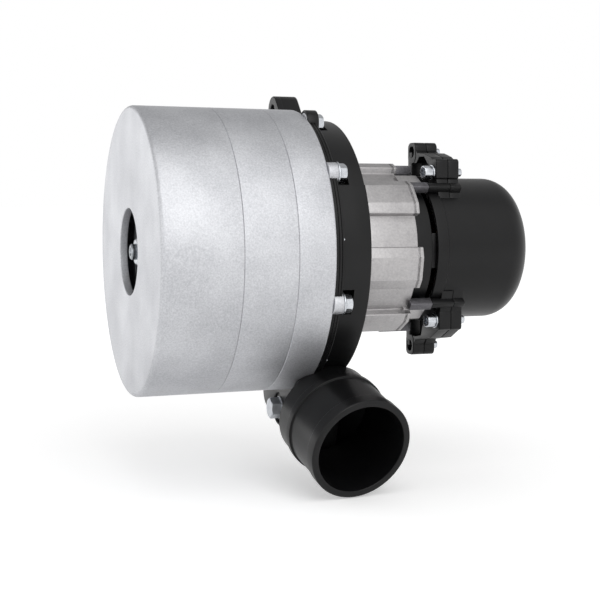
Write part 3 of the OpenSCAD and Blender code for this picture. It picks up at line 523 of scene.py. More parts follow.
# The duct's bolt is plated too, but rougher, so that it doesn't mirror the black tube beside it.
dull_zinc = metal_finish("dull zinc plate", "#CDD0D4", "#BCBFC4", 0.52, 2.4, height=0.004)
pressed_sheet = metal_finish("pressed aluminium sheet", "#B9BBBE", "#A3A5A9", 0.36, 3.0)
turned_bar = metal_finish("turned steel bar", "#9A9DA1", "#85888C", 0.3, 0.8, (0.15, 1, 1))
flux_sheet = metal_finish("rolled mild steel", "#7B7D81", "#65676B", 0.45, 2.0, (1, 0.3, 0.3))
stamped_steel = metal_finish("stacked laminations", "#84868A", "#5F6165", 0.42, 0.5, (1, 0.04, 0.04), 0.05)
copper_bar = metal_finish("turned copper bars", "#C98657", "#A9673F", 0.28, 0.6, (1, 0.2, 0.2))
enamelled_wire = metal_finish("enamelled copper wire", "#9C4A26", "#6E2C14", 0.34, 0.7, (0.3, 1, 1), 0.2)
drawn_brass = metal_finish("drawn brass tube", "#C3A152", "#A98537", 0.3, 1.0, (1, 1, 0.15))
spring_wire = metal_finish("bright spring wire", "#A8ABAF", "#8E9195", 0.25, 0.5)
print("bright metals made")

# %% [markdown]
# ## Ferrite, carbon and the finish of each CAD node
#
# Magnets are sintered and brushes pressed, so both are dull, dark and speckled, and neither is a
# metal. The inner pieces keep the CAD model's own meshes and only get a finish, which is looked up
# from the material slot that the record gives each node.

# %% Dull blacks and greys
def dull_finish(name, pale, dark, roughness, grain_mm, height):
    """A dull pressed or sintered material: specks between two colours, and the same specks as height."""
    material, tree, shader, place = new_finish(name, IOR=1.45)
    specks = add_node(tree, "ShaderNodeTexNoise", {}, {"Scale": per_mm(grain_mm), "Detail": 4.0},
                      {"Vector": place})
    ramp = add_node(tree, "ShaderNodeValToRGB", links={"Fac": specks.outputs["Fac"]})
    ramp.color_ramp.elements[0].color = linear(dark)
    ramp.color_ramp.elements[1].color = linear(pale)
    tree.links.new(ramp.outputs["Color"], shader.inputs["Base Color"])
    shader.inputs["Roughness"].default_value = roughness
    bump = add_node(tree, "ShaderNodeBump", {}, {"Strength": 0.4, "Distance": height * 0.001},
                    {"Height": specks.outputs["Fac"]})
    tree.links.new(bump.outputs["Normal"], shader.inputs["Normal"])
    return material


sintered_ferrite = dull_finish("sintered ferrite", "#4A4A4C", "#2E2E30", 0.62, 0.8, 0.04)
pressed_carbon = dull_finish("pressed brush carbon", "#3B3B3D", "#222223", 0.5, 0.5, 0.03)
seal_carbon = dull_finish("moulded seal carbon", "#333335", "#202021", 0.45, 0.6, 0.02)
print("ferrite and carbon made")

# %% Finishes of the CAD nodes
finish_of_slot = {"cast_case": blasted_aluminium, "cast_frame": die_cast_aluminium,
                  "pressed_aluminium": pressed_sheet, "black_moulding": satin_nylon,
                  "zinc_steel": zinc_plate, "turned_steel": turned_bar, "seal_carbon": seal_carbon,
                  "flux_steel": flux_sheet, "ferrite": sintered_ferrite,
                  "laminated_steel": stamped_steel, "enamelled_copper": enamelled_wire,
                  "copper_bars": copper_bar, "brass_tube": drawn_brass,
                  "brush_carbon": pressed_carbon, "spring_steel": spring_wire}
slot_of_node = {part["node"]: part["material_slot"] for part in frame["record"]["subparts"]}
for name, node in frame["nodes"].items():
    node.data.materials.clear()
    node.data.materials.append(finish_of_slot[slot_of_node[name]])
print(len(finish_of_slot), "finishes on", len(frame["nodes"]), "CAD nodes")

# %% [markdown]
# ## The three shells
#
# Each shell is a round casting that plugs into the one before it. Turning one closed profile gives
# the wall, the web and the plug in one piece, with a true fillet at every edge; the one at the front
# catches the light as a thin bright line in the picture. Cylinders with a Bevel modifier could stand
# in for them, but a wall that tapers and a plug that fits it come straight out of a profile.

# %% Front shell
front_r, taper_degrees, inlet_r, lip_r = 72.5, 0.35, 21.75, 23.35
seam_1, seam_2, case_end = 39.1, 65.7, 84.2
wall, front_wall, plug_wall, eye_r = 2.4, 2.6, 1.8, 23.0


def case_radius(x):
    """Radius of the case, which tapers evenly from its front face."""
    return front_r - x * math.tan(math.radians(taper_degrees))


inner = case_radius(seam_1) - wall
front_profile = rounded([(0, inlet_r), (0, front_r), (seam_1, inner + wall), (seam_1, inner),
                         (front_wall, inner), (front_wall, lip_r), (4, lip_r), (4, inlet_r)],
                        [0.5, 2.2, 0.4, 0.2, 3.0, 0.3, 0.2, 0.4], 8)
make_piece("shell_front", turned(front_profile, 256), blasted_aluminium,
           replaces=["inlet_shell"])

# %% Middle shell
def plugged_profile(start, end_corners, end_radii, r_in):
    """Profile of a later shell: its outer wall starts at the seam, and its plug reaches into the shell
    before it and carries the web of its stage."""
    plug = case_radius(start) - wall - 0.1
    return rounded([(start, case_radius(start))] + end_corners
                   + [(start + 2, r_in), (start, plug - plug_wall), (start - 5.9, plug - plug_wall),
                      (start - 5.9, eye_r), (start - 7.7, eye_r), (start - 7.7, plug), (start, plug)],
                   [0.4] + end_radii + [0.5, 0.5, 0.8, 0.3, 0.3, 0.4, 0.1], 6)


inner = case_radius(seam_2) - wall
middle_profile = plugged_profile(seam_1, [(seam_2, inner + wall), (seam_2, inner)], [0.4, 0.2], inner)
make_piece("shell_middle", turned(middle_profile, 256), blasted_aluminium,
           replaces=["middle_shell"])

# %% [markdown]
# ## Rear shell
#
# The last shell steps down to a spigot, over which the housing's ring goes, and carries the bosses
# that the housing's screws bite into. The bosses are cast on, so they are joined to the shell; they
# stand a little outside the drum, and that is why the drum has a pocket round each screw.

# %% Rear shell with its spigot and bosses
spigot_r, spigot_end, spigot_bore, web_from, web_to = 68.1, 87.3, 65.7, 81.2, 78.8
inner = case_radius(case_end) - wall - 1.4
rear_profile = plugged_profile(seam_2, [(case_end, case_radius(case_end)), (case_end, spigot_r),
                                        (spigot_end, spigot_r), (spigot_end, spigot_bore),
                                        (web_from, spigot_bore), (web_to, inner)],
                               [0.9, 0.2, 0.3, 0.3, 0.3, 0.3], inner)
boss_r, boss_end, screw_circle = 5.1, 89.2, 68.2
screw_angles = [70, 34.5, -20, 124.5, 160, 214.5]
boss_profile = rounded([(case_end, 0.02), (case_end, boss_r), (boss_end, boss_r), (boss_end, 0.02)],
                       [0.01, 0.4, 0.3, 0.01], 4)
bosses = [turned(boss_profile, 40, on_case(angle, screw_circle)) for angle in screw_angles]
make_piece("shell_rear", joined([turned(rear_profile, 256)] + bosses), blasted_aluminium,
           replaces=["rear_shell"])

# %% [markdown]
# ## The exhaust housing
#
# One black moulding holds the drum, the ring over the shell's spigot, the mounting ear, the duct and
# the outlet. The drum's wall steps inwards round each screw head, so its radius is a function of the
# angle as well as of the place along the shaft: near a screw it follows the pocket's own circle. On
# the near side a part of the wall, from one screw's height down to the duct, stands a little
# proud, and its end draws the thin line across the drum. The pockets could be cut out with a Boolean
# modifier; one formula keeps the wall a clean grid instead.

# %% Drum with its screw pockets
drum_r, drum_wall, drum_start, drum_end = 66.7, 2.4, 88.3, 103.6
floor_inside, seat_front, seat_r, floor_bore = 101.0, 98.0, 21.0, 18.1
pocket_r, pocket_end = 6.2, 95.4
proud, proud_from, proud_to = 0.8, -65, 29.4


def pocketed_drum(columns=720):
    """Drum radius r(x, a). Away from the screws it is the profile's own radius; where a pocket is
    deeper, it is s cos d - sqrt(p^2 - (s sin d)^2) with s the screws' circle, d the angle from the
    screw and p the pocket's radius, which is grown by the wall on the inner side."""
    outer = [(drum_start, drum_r, 0), (pocket_end, drum_r, 0), (pocket_end + 0.02, drum_r, None)]
    corner = [(drum_end - 0.8 + 0.8 * math.sin(t), drum_r - 0.8 + 0.8 * math.cos(t), None)
              for t in np.linspace(0, np.pi / 2, 5)]
    inner_r, pocket_floor = drum_r - drum_wall, pocket_end + drum_wall
    inside = [(drum_end, floor_bore, None), (seat_front, floor_bore, None), (seat_front, seat_r, None),
              (floor_inside, seat_r, None), (floor_inside, inner_r, None), (pocket_floor, inner_r, None),
              (pocket_floor - 0.02, inner_r, drum_wall), (drum_start, inner_r, drum_wall)]
    rows = outer + corner + inside
    edge = math.degrees(math.acos((drum_r ** 2 + screw_circle ** 2 - pocket_r ** 2)
                                  / (2 * drum_r * screw_circle)))
    steps = [np.linspace(0, 360, columns, endpoint=False), [proud_to - 0.1, proud_to + 0.1]]
    steps += [[(screw - edge) % 360, (screw + edge) % 360] for screw in screw_angles]
    angles = np.unique(np.concatenate(steps))
    off = np.radians((angles[:, None] - np.array(screw_angles)[None, :] + 180) % 360 - 180)
    signed = (angles + 180) % 360 - 180
    rise = proud * ((signed > proud_from) & (signed < proud_to))

    def pocket(grown):
        p = pocket_r + grown
        side = screw_circle * np.sin(off)
        hit = (np.abs(side) < p) & (np.abs(off) < 0.5)
        depth = screw_circle * np.cos(off) - np.sqrt(np.where(hit, p ** 2 - side ** 2, 0))
        return np.where(hit, depth, 1e9).min(1)

    radii = np.stack([np.minimum(r + rise * (r > drum_r - 1), pocket(grown)) if grown is not None
                      else r + rise * (r > drum_r - 1) for _, r, grown in rows])
    a = np.radians(angles)[None, :]
    x = np.array([row[0] for row in rows])[:, None] + 0 * a
    points = np.stack([x, -radii * np.cos(a), radii * np.sin(a)], -1).reshape(-1, 3)
    return outward(points, grid_quads(len(rows), len(angles), close_rows=True))


print("each pocket reaches", round(drum_r - (screw_circle - pocket_r), 2), "mm into the drum")

# %% [markdown]
# ## Ring and sleeves of the housing
#
# The ring goes over the shell's spigot. Two fine grooves run round it where the mould's inserts meet,
# and they are simply corners of its profile. Two of the upper screws have a short sleeve round
# their boss, which is moulded on.

# %% Ring and sleeves
flange_r, flange_bore, groove, clearance = case_radius(case_end) - 1.4, 64.3, 0.3, 0.1
ring_from, ring_end = case_end + clearance, 88.4
ring_bore, ring_stop = spigot_r + clearance, spigot_end + clearance
ring_profile = [(ring_from, ring_bore), (ring_from, 70.2), (84.6, flange_r), (85.8, flange_r),
                (86.0, flange_r - groove), (86.2, flange_r), (87.2, flange_r),
                (87.4, flange_r - groove), (87.6, flange_r), (88.1, flange_r),
                (ring_end, flange_r - groove), (ring_end, flange_bore), (ring_stop, flange_bore),
                (ring_stop, ring_bore)]
sleeve_profile = rounded([(84.4, 5.3), (84.4, 6.5), (90.4, 6.5), (90.4, 5.3)], [0.2, 0.4, 0.4, 0.2], 3)
sleeve_angles = (70, 124.5)
sleeves = [turned(sleeve_profile, 48, on_case(angle, screw_circle)) for angle in sleeve_angles]
make_piece("housing_drum", joined([pocketed_drum(), turned(ring_profile, 256)] + sleeves), satin_nylon,
           replaces=["exhaust_housing"], sharp=38)

# %% [markdown]
# ## Mounting ear
#
# The ear is a flat lug with a bolt hole, drawn as its maker would: a wide foot, a round top about the
# hole, and straight sides that touch the round. Working the tangents out keeps the sides smooth where
# they meet it. The front part ends at the case, so its foot is cut by a circle just outside it.

# %% Mounting ear
ear_angle, ear_r, ear_hole_r, ear_edge = 105, 75.5, 3.2, 0.7
ear_from, ear_step, ear_to = 81.8, 84.6, 94.3


def ear_outline(foot):
    """The ear in a frame whose second axis leaves the shaft: a foot 31 mm wide and the two tangents
    from its corners to the round top. Where the foot is given as a radius, the sides are cut by that
    circle: a side's point p + t q lies on it where |p + t q| is the radius."""
    low, base, tip_r, top = 62.7, 15.5, 7.6, ear_r
    reach = math.hypot(base, top - low)
    turn = math.atan2(top - low, -base) - math.asin(tip_r / reach)
    length = math.sqrt(reach ** 2 - tip_r ** 2)
    side = length * np.array([math.cos(turn), math.sin(turn)])
    touch = np.array([base, low]) + side
    start = math.atan2(touch[1] - top, touch[0])
    arc = np.linspace(start, math.pi - start, 25)
    round_top = np.stack([tip_r * np.cos(arc), top + tip_r * np.sin(arc)], 1)
    if foot is None:
        return np.concatenate([[(-base, low), (base, low)], round_top])
    corner = np.array([base, low])
    t = max(np.roots([side @ side, 2 * corner @ side, corner @ corner - foot ** 2]).real)
    right = corner + min(t, 0.98) * side
    half = math.asin(right[0] / foot)
    bottom = np.linspace(-half, half, 13)
    return np.concatenate([np.stack([foot * np.sin(bottom), foot * np.cos(bottom)], 1), round_top])


def turn_flat(points, degrees):
    """Points of a flat drawing turned about the origin."""
    t = math.radians(degrees)
    return np.asarray(points) @ np.array([[math.cos(t), math.sin(t)], [-math.sin(t), math.cos(t)]])


ear_hole = circle(on_case(ear_angle, ear_r), ear_hole_r, 32)
back_outline = turn_flat(ear_outline(None), 90 - ear_angle)
front_outline = turn_flat(ear_outline(front_r - 0.05), 90 - ear_angle)
ear_back = plate(back_outline, ear_step, ear_to, ear_edge, [ear_hole])
ear_front = plate(front_outline, ear_from, ear_step + 1, ear_edge, [ear_hole])
make_piece("housing_ear", joined([ear_back, ear_front]), satin_nylon)

# %% [markdown]
# ## Bright domes on the ring
#
# Two bright zinc domes sit on the ring and show as two white dots. They are small
# domes, so a quarter of an ellipse is turned about each dome's own axis.

# %% Bright domes on the ring
pin_r, pin_rise, pin_foot, pin_circle, pin_angles = 0.75, 0.9, 88.0, 69.3, (6.0, -49.5)
dome = [(ring_end + pin_rise * math.sin(t), pin_r * math.cos(t)) for t in np.linspace(0, np.pi / 2, 5)]
pin_profile = [(pin_foot, 0.01), (pin_foot, pin_r)] + dome[:-1] + [(ring_end + pin_rise, 0.01)]
pins = [turned(pin_profile, 20, on_case(angle, pin_circle)) for angle in pin_angles]
make_piece("bright_ring_domes", joined(pins), zinc_plate)

# %% [markdown]
# ## The outlet
#
# The duct leaves the drum sideways as a flat box, swells to a round neck and ends in a tube with a
# bead, over which a hose is pushed. All of it is drawn in two frames: the duct's own, which drops
# towards the outlet, and inside it the tube's, which also leans towards the cap. A parent object
# could hold them, but a matrix leaves every finished piece at the origin.

# %% Frame of the outlet
def turn_about(axis, degrees):
    """4 x 4 matrix of a turn about a main axis."""
    return np.array(Matrix.Rotation(math.radians(degrees), 4, axis))


def shift(x, y, z):
    """4 x 4 matrix of a move."""
    return np.array(Matrix.Translation((x, y, z)))


drop, lean = 19.3, 7.1
mouth = 94.3 / math.cos(math.radians(lean))
collar, neck = mouth - 26, mouth - 40
slab_frame = turn_about("X", drop)
outlet_frame = slab_frame @ shift(87.25, 0, -66.6) @ turn_about("Z", lean) @ turn_about("X", 90)


def in_slab(along, out):
    """(y, z) of a point of the duct's box, from its distance along the duct and out from the shaft."""
    c, k = math.cos(math.radians(drop)), math.sin(math.radians(drop))
    return np.array([-along * c + out * k, -along * k - out * c])


bolt_place = in_slab(10.5, 87)
print("bolt at", bolt_place.round(2), "mm")

# %% [markdown]
# ## Box, swell and tube
#
# The box is an outline carried along the shaft, with a recess for the head of the bolt that goes
# through it. The swell is a loft: each of its rings mixes the box's end with the neck's circle, once
# outside and once, a wall further in, for the passage. Collar, tube and bead are one profile turned
# on the outlet's own axis.

# %% Box of the duct, and the bolt's boss
duct_front, seat_x, recess_r = 84.6, 85.8, 8.2
box_corners = [in_slab(-18, 50), in_slab(51, 50), in_slab(51, 96), in_slab(-18, 96)]
box = plate(rounded(box_corners, 9, 8), duct_front, drum_end, 0.8, [circle(bolt_place, recess_r, 40)])
boss = turned(rounded([(seat_x, 3.1), (seat_x, 9.4), (103.9, 9.4), (103.9, 3.1)],
                      [0.2, 0.1, 0.4, 0.2], 4), 64, bolt_place)
make_piece("housing_duct", joined([box, boss]), satin_nylon, sharp=40)

# %% Swell and outlet tube
neck_r, passage_r = 25.7, 23


def along_axis(profile, count=160):
    """A profile of (distance along the outlet, radius) turned about the outlet's own axis."""
    points, quads, triangles = turned(profile, count)
    return moved((points[:, [1, 2, 0]], quads, triangles), outlet_frame)


def swell(steps=20, count=160):
    """Rings (1 - u) box(t) + u circle(t), with t the angle round the duct. The box is the curve
    (|cos t|^12 + |sin t|^12)^(-1/12), stretched to the box's half sizes: a square with small corners."""
    t = np.linspace(0, 2 * np.pi, count, endpoint=False)
    c, k = np.cos(t), np.sin(t)
    square = (np.abs(c) ** 12 + np.abs(k) ** 12) ** (-1 / 12)

    def loft(along, half_x, half_out, r):
        start = np.stack([94.1 + half_x * c * square, 0 * t - along, -73.0 - half_out * k * square], 1)
        start = start @ slab_frame[:3, :3].T
        end = np.stack([r * c, -r * k, 0 * t + neck, 1 + 0 * t], 1) @ outlet_frame.T
        u = np.linspace(0, 1, steps + 1)[:, None, None]
        return start + (end[:, :3] - start) * u

    outside = loft(36.0, 9.5, 23.0, neck_r)
    passage = loft(38.0, 7.1, 20.6, passage_r)[::-1]
    points = np.concatenate([outside[:1] * 0 + outside[0].mean(0), outside, passage,
                             passage[:1] * 0 + passage[-1].mean(0)])
    return outward(points.reshape(-1, 3), grid_quads(len(points), count))


tube_profile = rounded([(neck, passage_r), (neck, neck_r), (collar - 4, neck_r), (collar - 4, 26.7),
                        (collar, 26.7), (collar, 25.8), (mouth - 7, 25.8), (mouth - 6.2, 26.5),
                        (mouth, 26.5), (mouth, passage_r)],
                       [0.1, 0.1, 0.3, 0.4, 0.4, 0.3, 0.3, 0.5, 0.7, 0.5], 6)
make_piece("outlet_swell", swell(), satin_nylon, sharp=40)
make_piece("outlet_tube", along_axis(tube_profile), satin_nylon)

# %% [markdown]
# ## Screws, bolt and nut
#
# The housing is held by screws with a hexagon on a round flange. The corners of a rolled hexagon are
# cut by a cone, so its radius is the smaller of the hexagon's and the cone's at each height. A six-sided
# cylinder would be quicker, but the cut corners are what make a screw head look real.

# %% Hexagon heads
def hexagon(x_from, x_to, across, place, chamfer=0.7, up=1, hole=0.0, count=96):
    """Radius h(a, x) = min(hexagon(a), cone(x)), with hexagon(a) = across / 2 / cos(a - nearest flat)."""
    a = np.linspace(0, 2 * np.pi, count, endpoint=False)
    flat = across / 2 / np.cos((a + np.pi / 6) % (np.pi / 3) - np.pi / 6)
    corner = across / 2 / math.cos(math.pi / 6)
    depth = (corner - across / 2) * 0.9
    steps = np.linspace(0, 1, 5)
    top_x = x_to - up * chamfer * (1 - steps)
    cone = corner - depth * steps ** 1.4
    xs = np.concatenate([[x_from, x_from], top_x, [x_to, x_to]])
    radii = np.stack([np.full(count, max(hole, 0.01)), flat] + [np.minimum(flat, c) for c in cone]
                     + [np.full(count, across / 2 * 0.86), np.full(count, max(hole, 0.01))])
    points = np.stack([xs[:, None] + 0 * a, place[0] - radii * np.cos(a), place[1] + radii * np.sin(a)], -1)
    return outward(points.reshape(-1, 3), grid_quads(len(xs), count, close_rows=True))


print("8 mm across flats is", np.ptp(hexagon(0, 5, 8, (0, 0))[0][:, 2]).round(2), "mm across corners")

# %% Flange screws
screw_tip, screw_across, screw_height = 80.4, 8.0, 4.6


def flange_screw(place):
    """Shank, flange with a sloping face, and hexagon of one screw."""
    top = boss_end + 1.5
    flange = rounded([(screw_tip, 0.02), (screw_tip, 2.0), (boss_end, 2.0), (boss_end, 5.4),
                      (boss_end + 0.7, 5.4), (top, 4.2), (top, 0.02)],
                     [0.01, 0.3, 0.1, 0.25, 0.3, 0.2, 0.01], 4)
    head = hexagon(top - 0.4, boss_end + screw_height, screw_across, place)
    return joined([turned(flange, 48, place), head])


screws = [flange_screw(on_case(angle, screw_circle)) for angle in screw_angles]
make_piece("flange_screws_dressed", joined(screws), zinc_plate, replaces=["flange_screws"])

# %% [markdown]
# ## Bolt and nut of the duct
#
# An M6 bolt goes through the duct's boss from the inlet side, with its nut behind. It is made of the
# same two kinds of surface as the screws: a hexagon, and turned profiles for the shank and for the
# round face under the head.

# %% Bolt and nut of the duct
bolt_end, bolt_r, bolt_across, nut_height = 110.6, 3.0, 10.0, 5.0
face_from, face_r = seat_x - 0.9, 6.0
shank = turned(rounded([(seat_x - 1, 0.02), (seat_x - 1, bolt_r), (bolt_end, bolt_r), (bolt_end, 0.02)],
                       [0.01, 0.1, 0.5, 0.01], 4), 40, bolt_place)
head_face = turned(rounded([(face_from, 0.02), (face_from, face_r), (seat_x, face_r), (seat_x, 0.02)],
                           [0.01, 0.2, 0.2, 0.01], 4), 48, bolt_place)
bolt_head = hexagon(seat_x - 0.6, seat_x - 6.2, bolt_across, bolt_place, 0.8, -1)
make_piece("ear_bolt_dressed", joined([bolt_head, head_face, shank]), dull_zinc,
           replaces=["ear_bolt"])
nut = hexagon(drum_end, drum_end + nut_height, bolt_across, bolt_place, 0.8, 1, bolt_r + 0.1)
make_piece("ear_nut_dressed", nut, zinc_plate, replaces=["ear_nut"])

# %% [markdown]
# ## The motor frame
#
# The frame is a die casting: a round wall with seven ribs that stand proud of it, each with a bevel
# along both edges. It is an outline carried along the shaft, with the die's small radii on its edges.
# Seven copies of a rib turned by an Array modifier would look alike, but one outline gives wall and
# ribs a common skin with fillets between them.

# %% Outline of the frame
frame_front, frame_end, bore_r = 103.6, 139.7, 38.0
rib_count, rib_half, wall_r = 7, 14.25, 40.2
pitch = 360 / rib_count
rib_middles = [-11.2 + pitch * k for k in range(rib_count)]


def rib_corners(middle):
    """Corners of one rib as (y, z): up from the wall, over both bevels and down again."""
    steps = [(-rib_half, wall_r), (-rib_half, 43.8), (-7.4, 45.2), (7.4, 45.2), (rib_half, 43.8),
             (rib_half, wall_r)]
    return [on_case(middle + angle, r) for angle, r in steps]


def wall_between(middle):
    """Points of the round wall from one rib to the next."""
    return [on_case(middle + rib_half + k * (pitch - 2 * rib_half) / 5, wall_r) for k in range(1, 5)]


rib_radii, wall_radii = [0.5, 0.7, 1.0, 1.0, 0.7, 0.5], [0.3, 0.3, 0.3, 0.3]
corners = np.concatenate([rib_corners(middle) + wall_between(middle) for middle in rib_middles])
frame_outline = rounded(corners, (rib_radii + wall_radii) * rib_count, 4)
print(rib_count, "ribs, outline of", len(frame_outline), "points")

# %% Wall, rib ends, nose and end wall
body_plate = plate(frame_outline, frame_front, frame_end, 0.3, [circle((0, 0), bore_r, 128)])
rib_ends = []
for middle in rib_middles:
    foot = [on_case(middle + angle, 38.6) for angle in (13.4, 0, -13.4)]
    outline = rounded(np.array(rib_corners(middle) + foot), rib_radii + [0.4, 0.5, 0.4], 4)
    rib_ends.append(plate(outline, frame_end - 2, frame_end + 1.4, 0.4))
nose = turned(rounded([(94.0, 11.5), (94.0, 18.0), (108.5, 18.0), (108.5, 11.5)],
                      [0.4, 0.5, 0.3, 0.3], 4), 96)
end_wall = turned(rounded([(103.7, 14.5), (103.7, 39.4), (108.5, 39.4), (108.5, 14.5)],
                          [0.3, 0.3, 0.3, 0.3], 4), 128)
print(len(rib_ends), "rib ends; wall and ribs have", len(body_plate[0]), "points")

# %% [markdown]
# ## Feet and gussets of the frame
#
# Feet reach from the frame's end to the bracket, with thin gussets beside two of them. Each is a small
# block on the bore's wall, turned to its angle before it is carried along the shaft. The gussets are
# part of the bright casting, and the feet get a darker colour that is painted shade.

# %% Frame feet and gussets
def standing(angle, half_width, rise, x_from, x_to, edge=0.4):
    """A block that stands off the frame's bore at an angle, carried along the shaft."""
    low, high = bore_r + 0.6, bore_r + rise
    corners = [(-half_width, low), (half_width, low), (half_width, high), (-half_width, high)]
    return plate(rounded(turn_flat(corners, angle - 90) * np.array([-1, 1]), 0.4, 3)[::-1],
                 x_from, x_to, edge)


gussets = [standing(61.5, 4.8, 3.4, 137.0, 149.4), standing(-53.3, 4.8, 3.4, 137.0, 149.4)]
make_piece("motor_frame_casting", joined([body_plate, nose, end_wall] + rib_ends + gussets),
           die_cast_aluminium, replaces=["motor_frame"], sharp=28)
# The feet's darker colour is painted shade.
feet = [standing(52.0, 2.0, 5.0, 139.0, 151.4), standing(-42.3, 2.2, 5.2, 139.0, 151.4),
        standing(93.0, 8.0, 5.6, 133.0, 151.0), standing(-93.0, 8.0, 5.6, 133.0, 151.0)]
make_piece("frame_feet", joined(feet), painted_shade_casting)

# %% [markdown]
# ## Brush bracket, cap and lugs
#
# The black bracket closes the frame and carries the brushes; the cap slips over it. Both have lugs,
# two above and two below, that meet in a parting line. Each lug is an outline carried along the shaft,
# and a thin arch joins the near lug to the far one. Bracket and cap use the same outlines, so that
# their halves meet exactly.

# %% Places of the lugs
lug_front, lug_split, lug_rear = 157.2, 163.8, 170.0
near_lug = [np.array([-18.8, 40.2]), np.array([-23.9, 36.8])]
far_lug = [np.array([8.2, 51.7]), np.array([9.4, 53.4])]
near_lift = [1.5, -0.4]
shank_bore, head_bore = 2.25, 3.0
bar_angle = [52, 42]
mirror_of = [np.array([1, 1]), np.array([1, -1])]


def box_outline(centre, size, r):
    """A rounded rectangle in (y, z)."""
    corners = np.array([(-1, -1), (1, -1), (1, 1), (-1, 1)]) * np.array(size) / 2 + centre
    return rounded(corners, r, 5)


def arch_outline(side):
    """The web between the lugs: thin in its middle above, deep and sloping below."""
    near, far = near_lug[side], far_lug[side]
    if side == 0:
        corners = [near + (-4, 4.5), near + (3, 8.2), (far[0] - 15.2, near[1] + 10.4),
                   (far[0] - 7.2, near[1] + 10.8), far + (-3, 2), far + (-2, -6),
                   (far[0] - 6.2, near[1] + 5.5), (far[0] - 8.2, near[1] + 7.4),
                   (far[0] - 9.7, near[1] + 8.6), (far[0] - 15.7, near[1] + 8.6), near + (6.8, 4.7),
                   near + (4, 3)]
    else:
        corners = [near + (-4.8, -5.3), near + (-4.8, 4), near + (7.2, 10.1), far + (-15.4, -5),
                   far + (-7.4, -3.8), far + (-3, 2), far + (-2, -5.6), far + (-7.9, -5.7),
                   far + (-14.4, -6.9), far + (-16.4, -12.3), near + (5, -5.3)]
    return rounded(np.array(corners), 0.35, 3)


print("near lugs", [list(p) for p in near_lug], "far lugs", [list(p) for p in far_lug])

# %% Half of a pair of lugs
def lug_half(x_from, x_to, side, foot_r, bore, far_bore):
    """One half of a pair of lugs: both lugs with their bores, the arch between them, and the struts
    that stand on the round wall."""
    near, far, flip = near_lug[side], far_lug[side], mirror_of[side]
    near_block = plate(box_outline(near + (0, near_lift[side]), (10, 11), 2) * flip, x_from, x_to, 0.45,
                       [circle(near * flip, bore, 28)])
    far_block = plate(box_outline(far - (0, 0.5), (10, 11), 3) * flip, x_from, x_to, 0.45,
                      [circle(far * flip, far_bore, 28)])
    arch = plate(arch_outline(side) * flip, x_from + 0.25, x_to - 0.12, 0.3)
    low, out = foot_r - 3, near[0] - 8
    near_foot = [(near[0] - 4.5, near[1] - 3.5), (out, math.sqrt(foot_r ** 2 - out ** 2) - 1.5),
                 (near[0] + 4, low * 0.8), (near[0] + 5, near[1] - 3)]
    far_foot = [(far[0], low), (far[0] + 5, low - 1), (far[0] + 5, far[1]), (far[0], far[1])]
    strut = [(near[0] + 3, near[1] - 1), (-8, near[1] - 1), (-8, near[1] + 4), (near[0] + 3, near[1] + 4)]
    struts = [plate(rounded(np.array(corners), 0.5, 3) * flip, x_from + 0.15, x_to - 0.06, 0.35)
              for corners in (near_foot, far_foot, strut)]
    return joined([near_block, far_block, arch] + struts)


def bar(side, x_from, x_to, low, high, half):
    """A bar on the round wall beside the near lug."""
    corners = [(-half, low), (half, low), (half, high), (-half, high)]
    loop = turn_flat(corners, bar_angle[side] - 90) * np.array([-1, 1]) * mirror_of[side]
    return plate(rounded(loop, 0.7, 3), x_from, x_to, 0.4)


both_sides = (0, 1)
bar_top, bar_half = 42.9, 1.8
print("one upper half has", len(lug_half(0, 1, 0, 37.5, shank_bore, shank_bore)[0]), "points")

# %% [markdown]
# ## Brush bracket
#
# The bracket is a ring in the frame's end, a round plate that holds the rear bearing, two bars between
# them and a sleeve for each brush tube. They are simple solids that overlap, as the walls of a moulding
# do; a Boolean union would make one skin of them, but nothing more would be seen.

# %% Bracket
brush_x, parting = 161.5, 0.06
rear_plate_x, rear_bearing_end, seat_bore, seat_outer = 170.2, 181.0, 11.1, 14.4
tube_wide, tube_high, tube_play, holder_wall = 5.8, 7.3, 0.03, 0.5


def tube_outline(grown, r, steps):
    """The brush tube's outside, a rounded rectangle of half sizes tube_wide and tube_high, grown on
    every side."""
    quarter = np.array([tube_wide, tube_high]) + grown
    return rounded(np.array([(-1, -1), (1, -1), (1, 1), (-1, 1)]) * quarter, r, steps)


def upright(surface):
    """A surface made along the shaft, stood up at the brushes: (x, y, z) becomes (brush_x + y, z, x)."""
    points, quads, triangles = surface
    return points[:, [1, 2, 0]] + (brush_x, 0, 0), quads, triangles


bracket_ring = turned(rounded([(136.2, 33.0), (136.2, 36.5), (149.6, 36.5), (149.6, 33.0)],
                              [0.3, 0.3, 0.5, 0.3], 4), 160)
rear_plate = turned(rounded([(rear_plate_x, 14.2), (rear_plate_x, 34.4), (rear_plate_x + 3.6, 34.4),
                             (rear_plate_x + 3.6, seat_outer), (rear_bearing_end, seat_outer),
                             (rear_bearing_end, seat_bore), (rear_plate_x + 3.4, seat_bore),
                             (rear_plate_x + 3.4, 14.2)], 0.25, 3), 128)
side_bars = [plate(rounded([(y, -9), (y + 3.4, -9), (y + 3.4, 9), (y, 9)], 0.4, 3), 148.8, 171.0, 0.3)
             for y in (-34.4, 31.0)]
holder_outline, holder_bore = tube_outline(holder_wall, 0.8, 3), tube_outline(tube_play, 0.2, 2)
holders = [upright(plate(holder_outline, low, high, 0.3, [holder_bore]))
           for low, high in ((19.5, 36.9), (-36.9, -19.5))]
front_end = lug_split - parting
front_halves = [lug_half(lug_front, front_end, side, 38.6, shank_bore, head_bore) for side in both_sides]
front_bars = [bar(side, 151.5, front_end, 38.7, bar_top, bar_half) for side in both_sides]
bracket = joined([bracket_ring, rear_plate] + side_bars + holders + front_halves + front_bars)
make_piece("bracket_moulding", bracket, satin_nylon, replaces=["brush_bracket"], sharp=34)

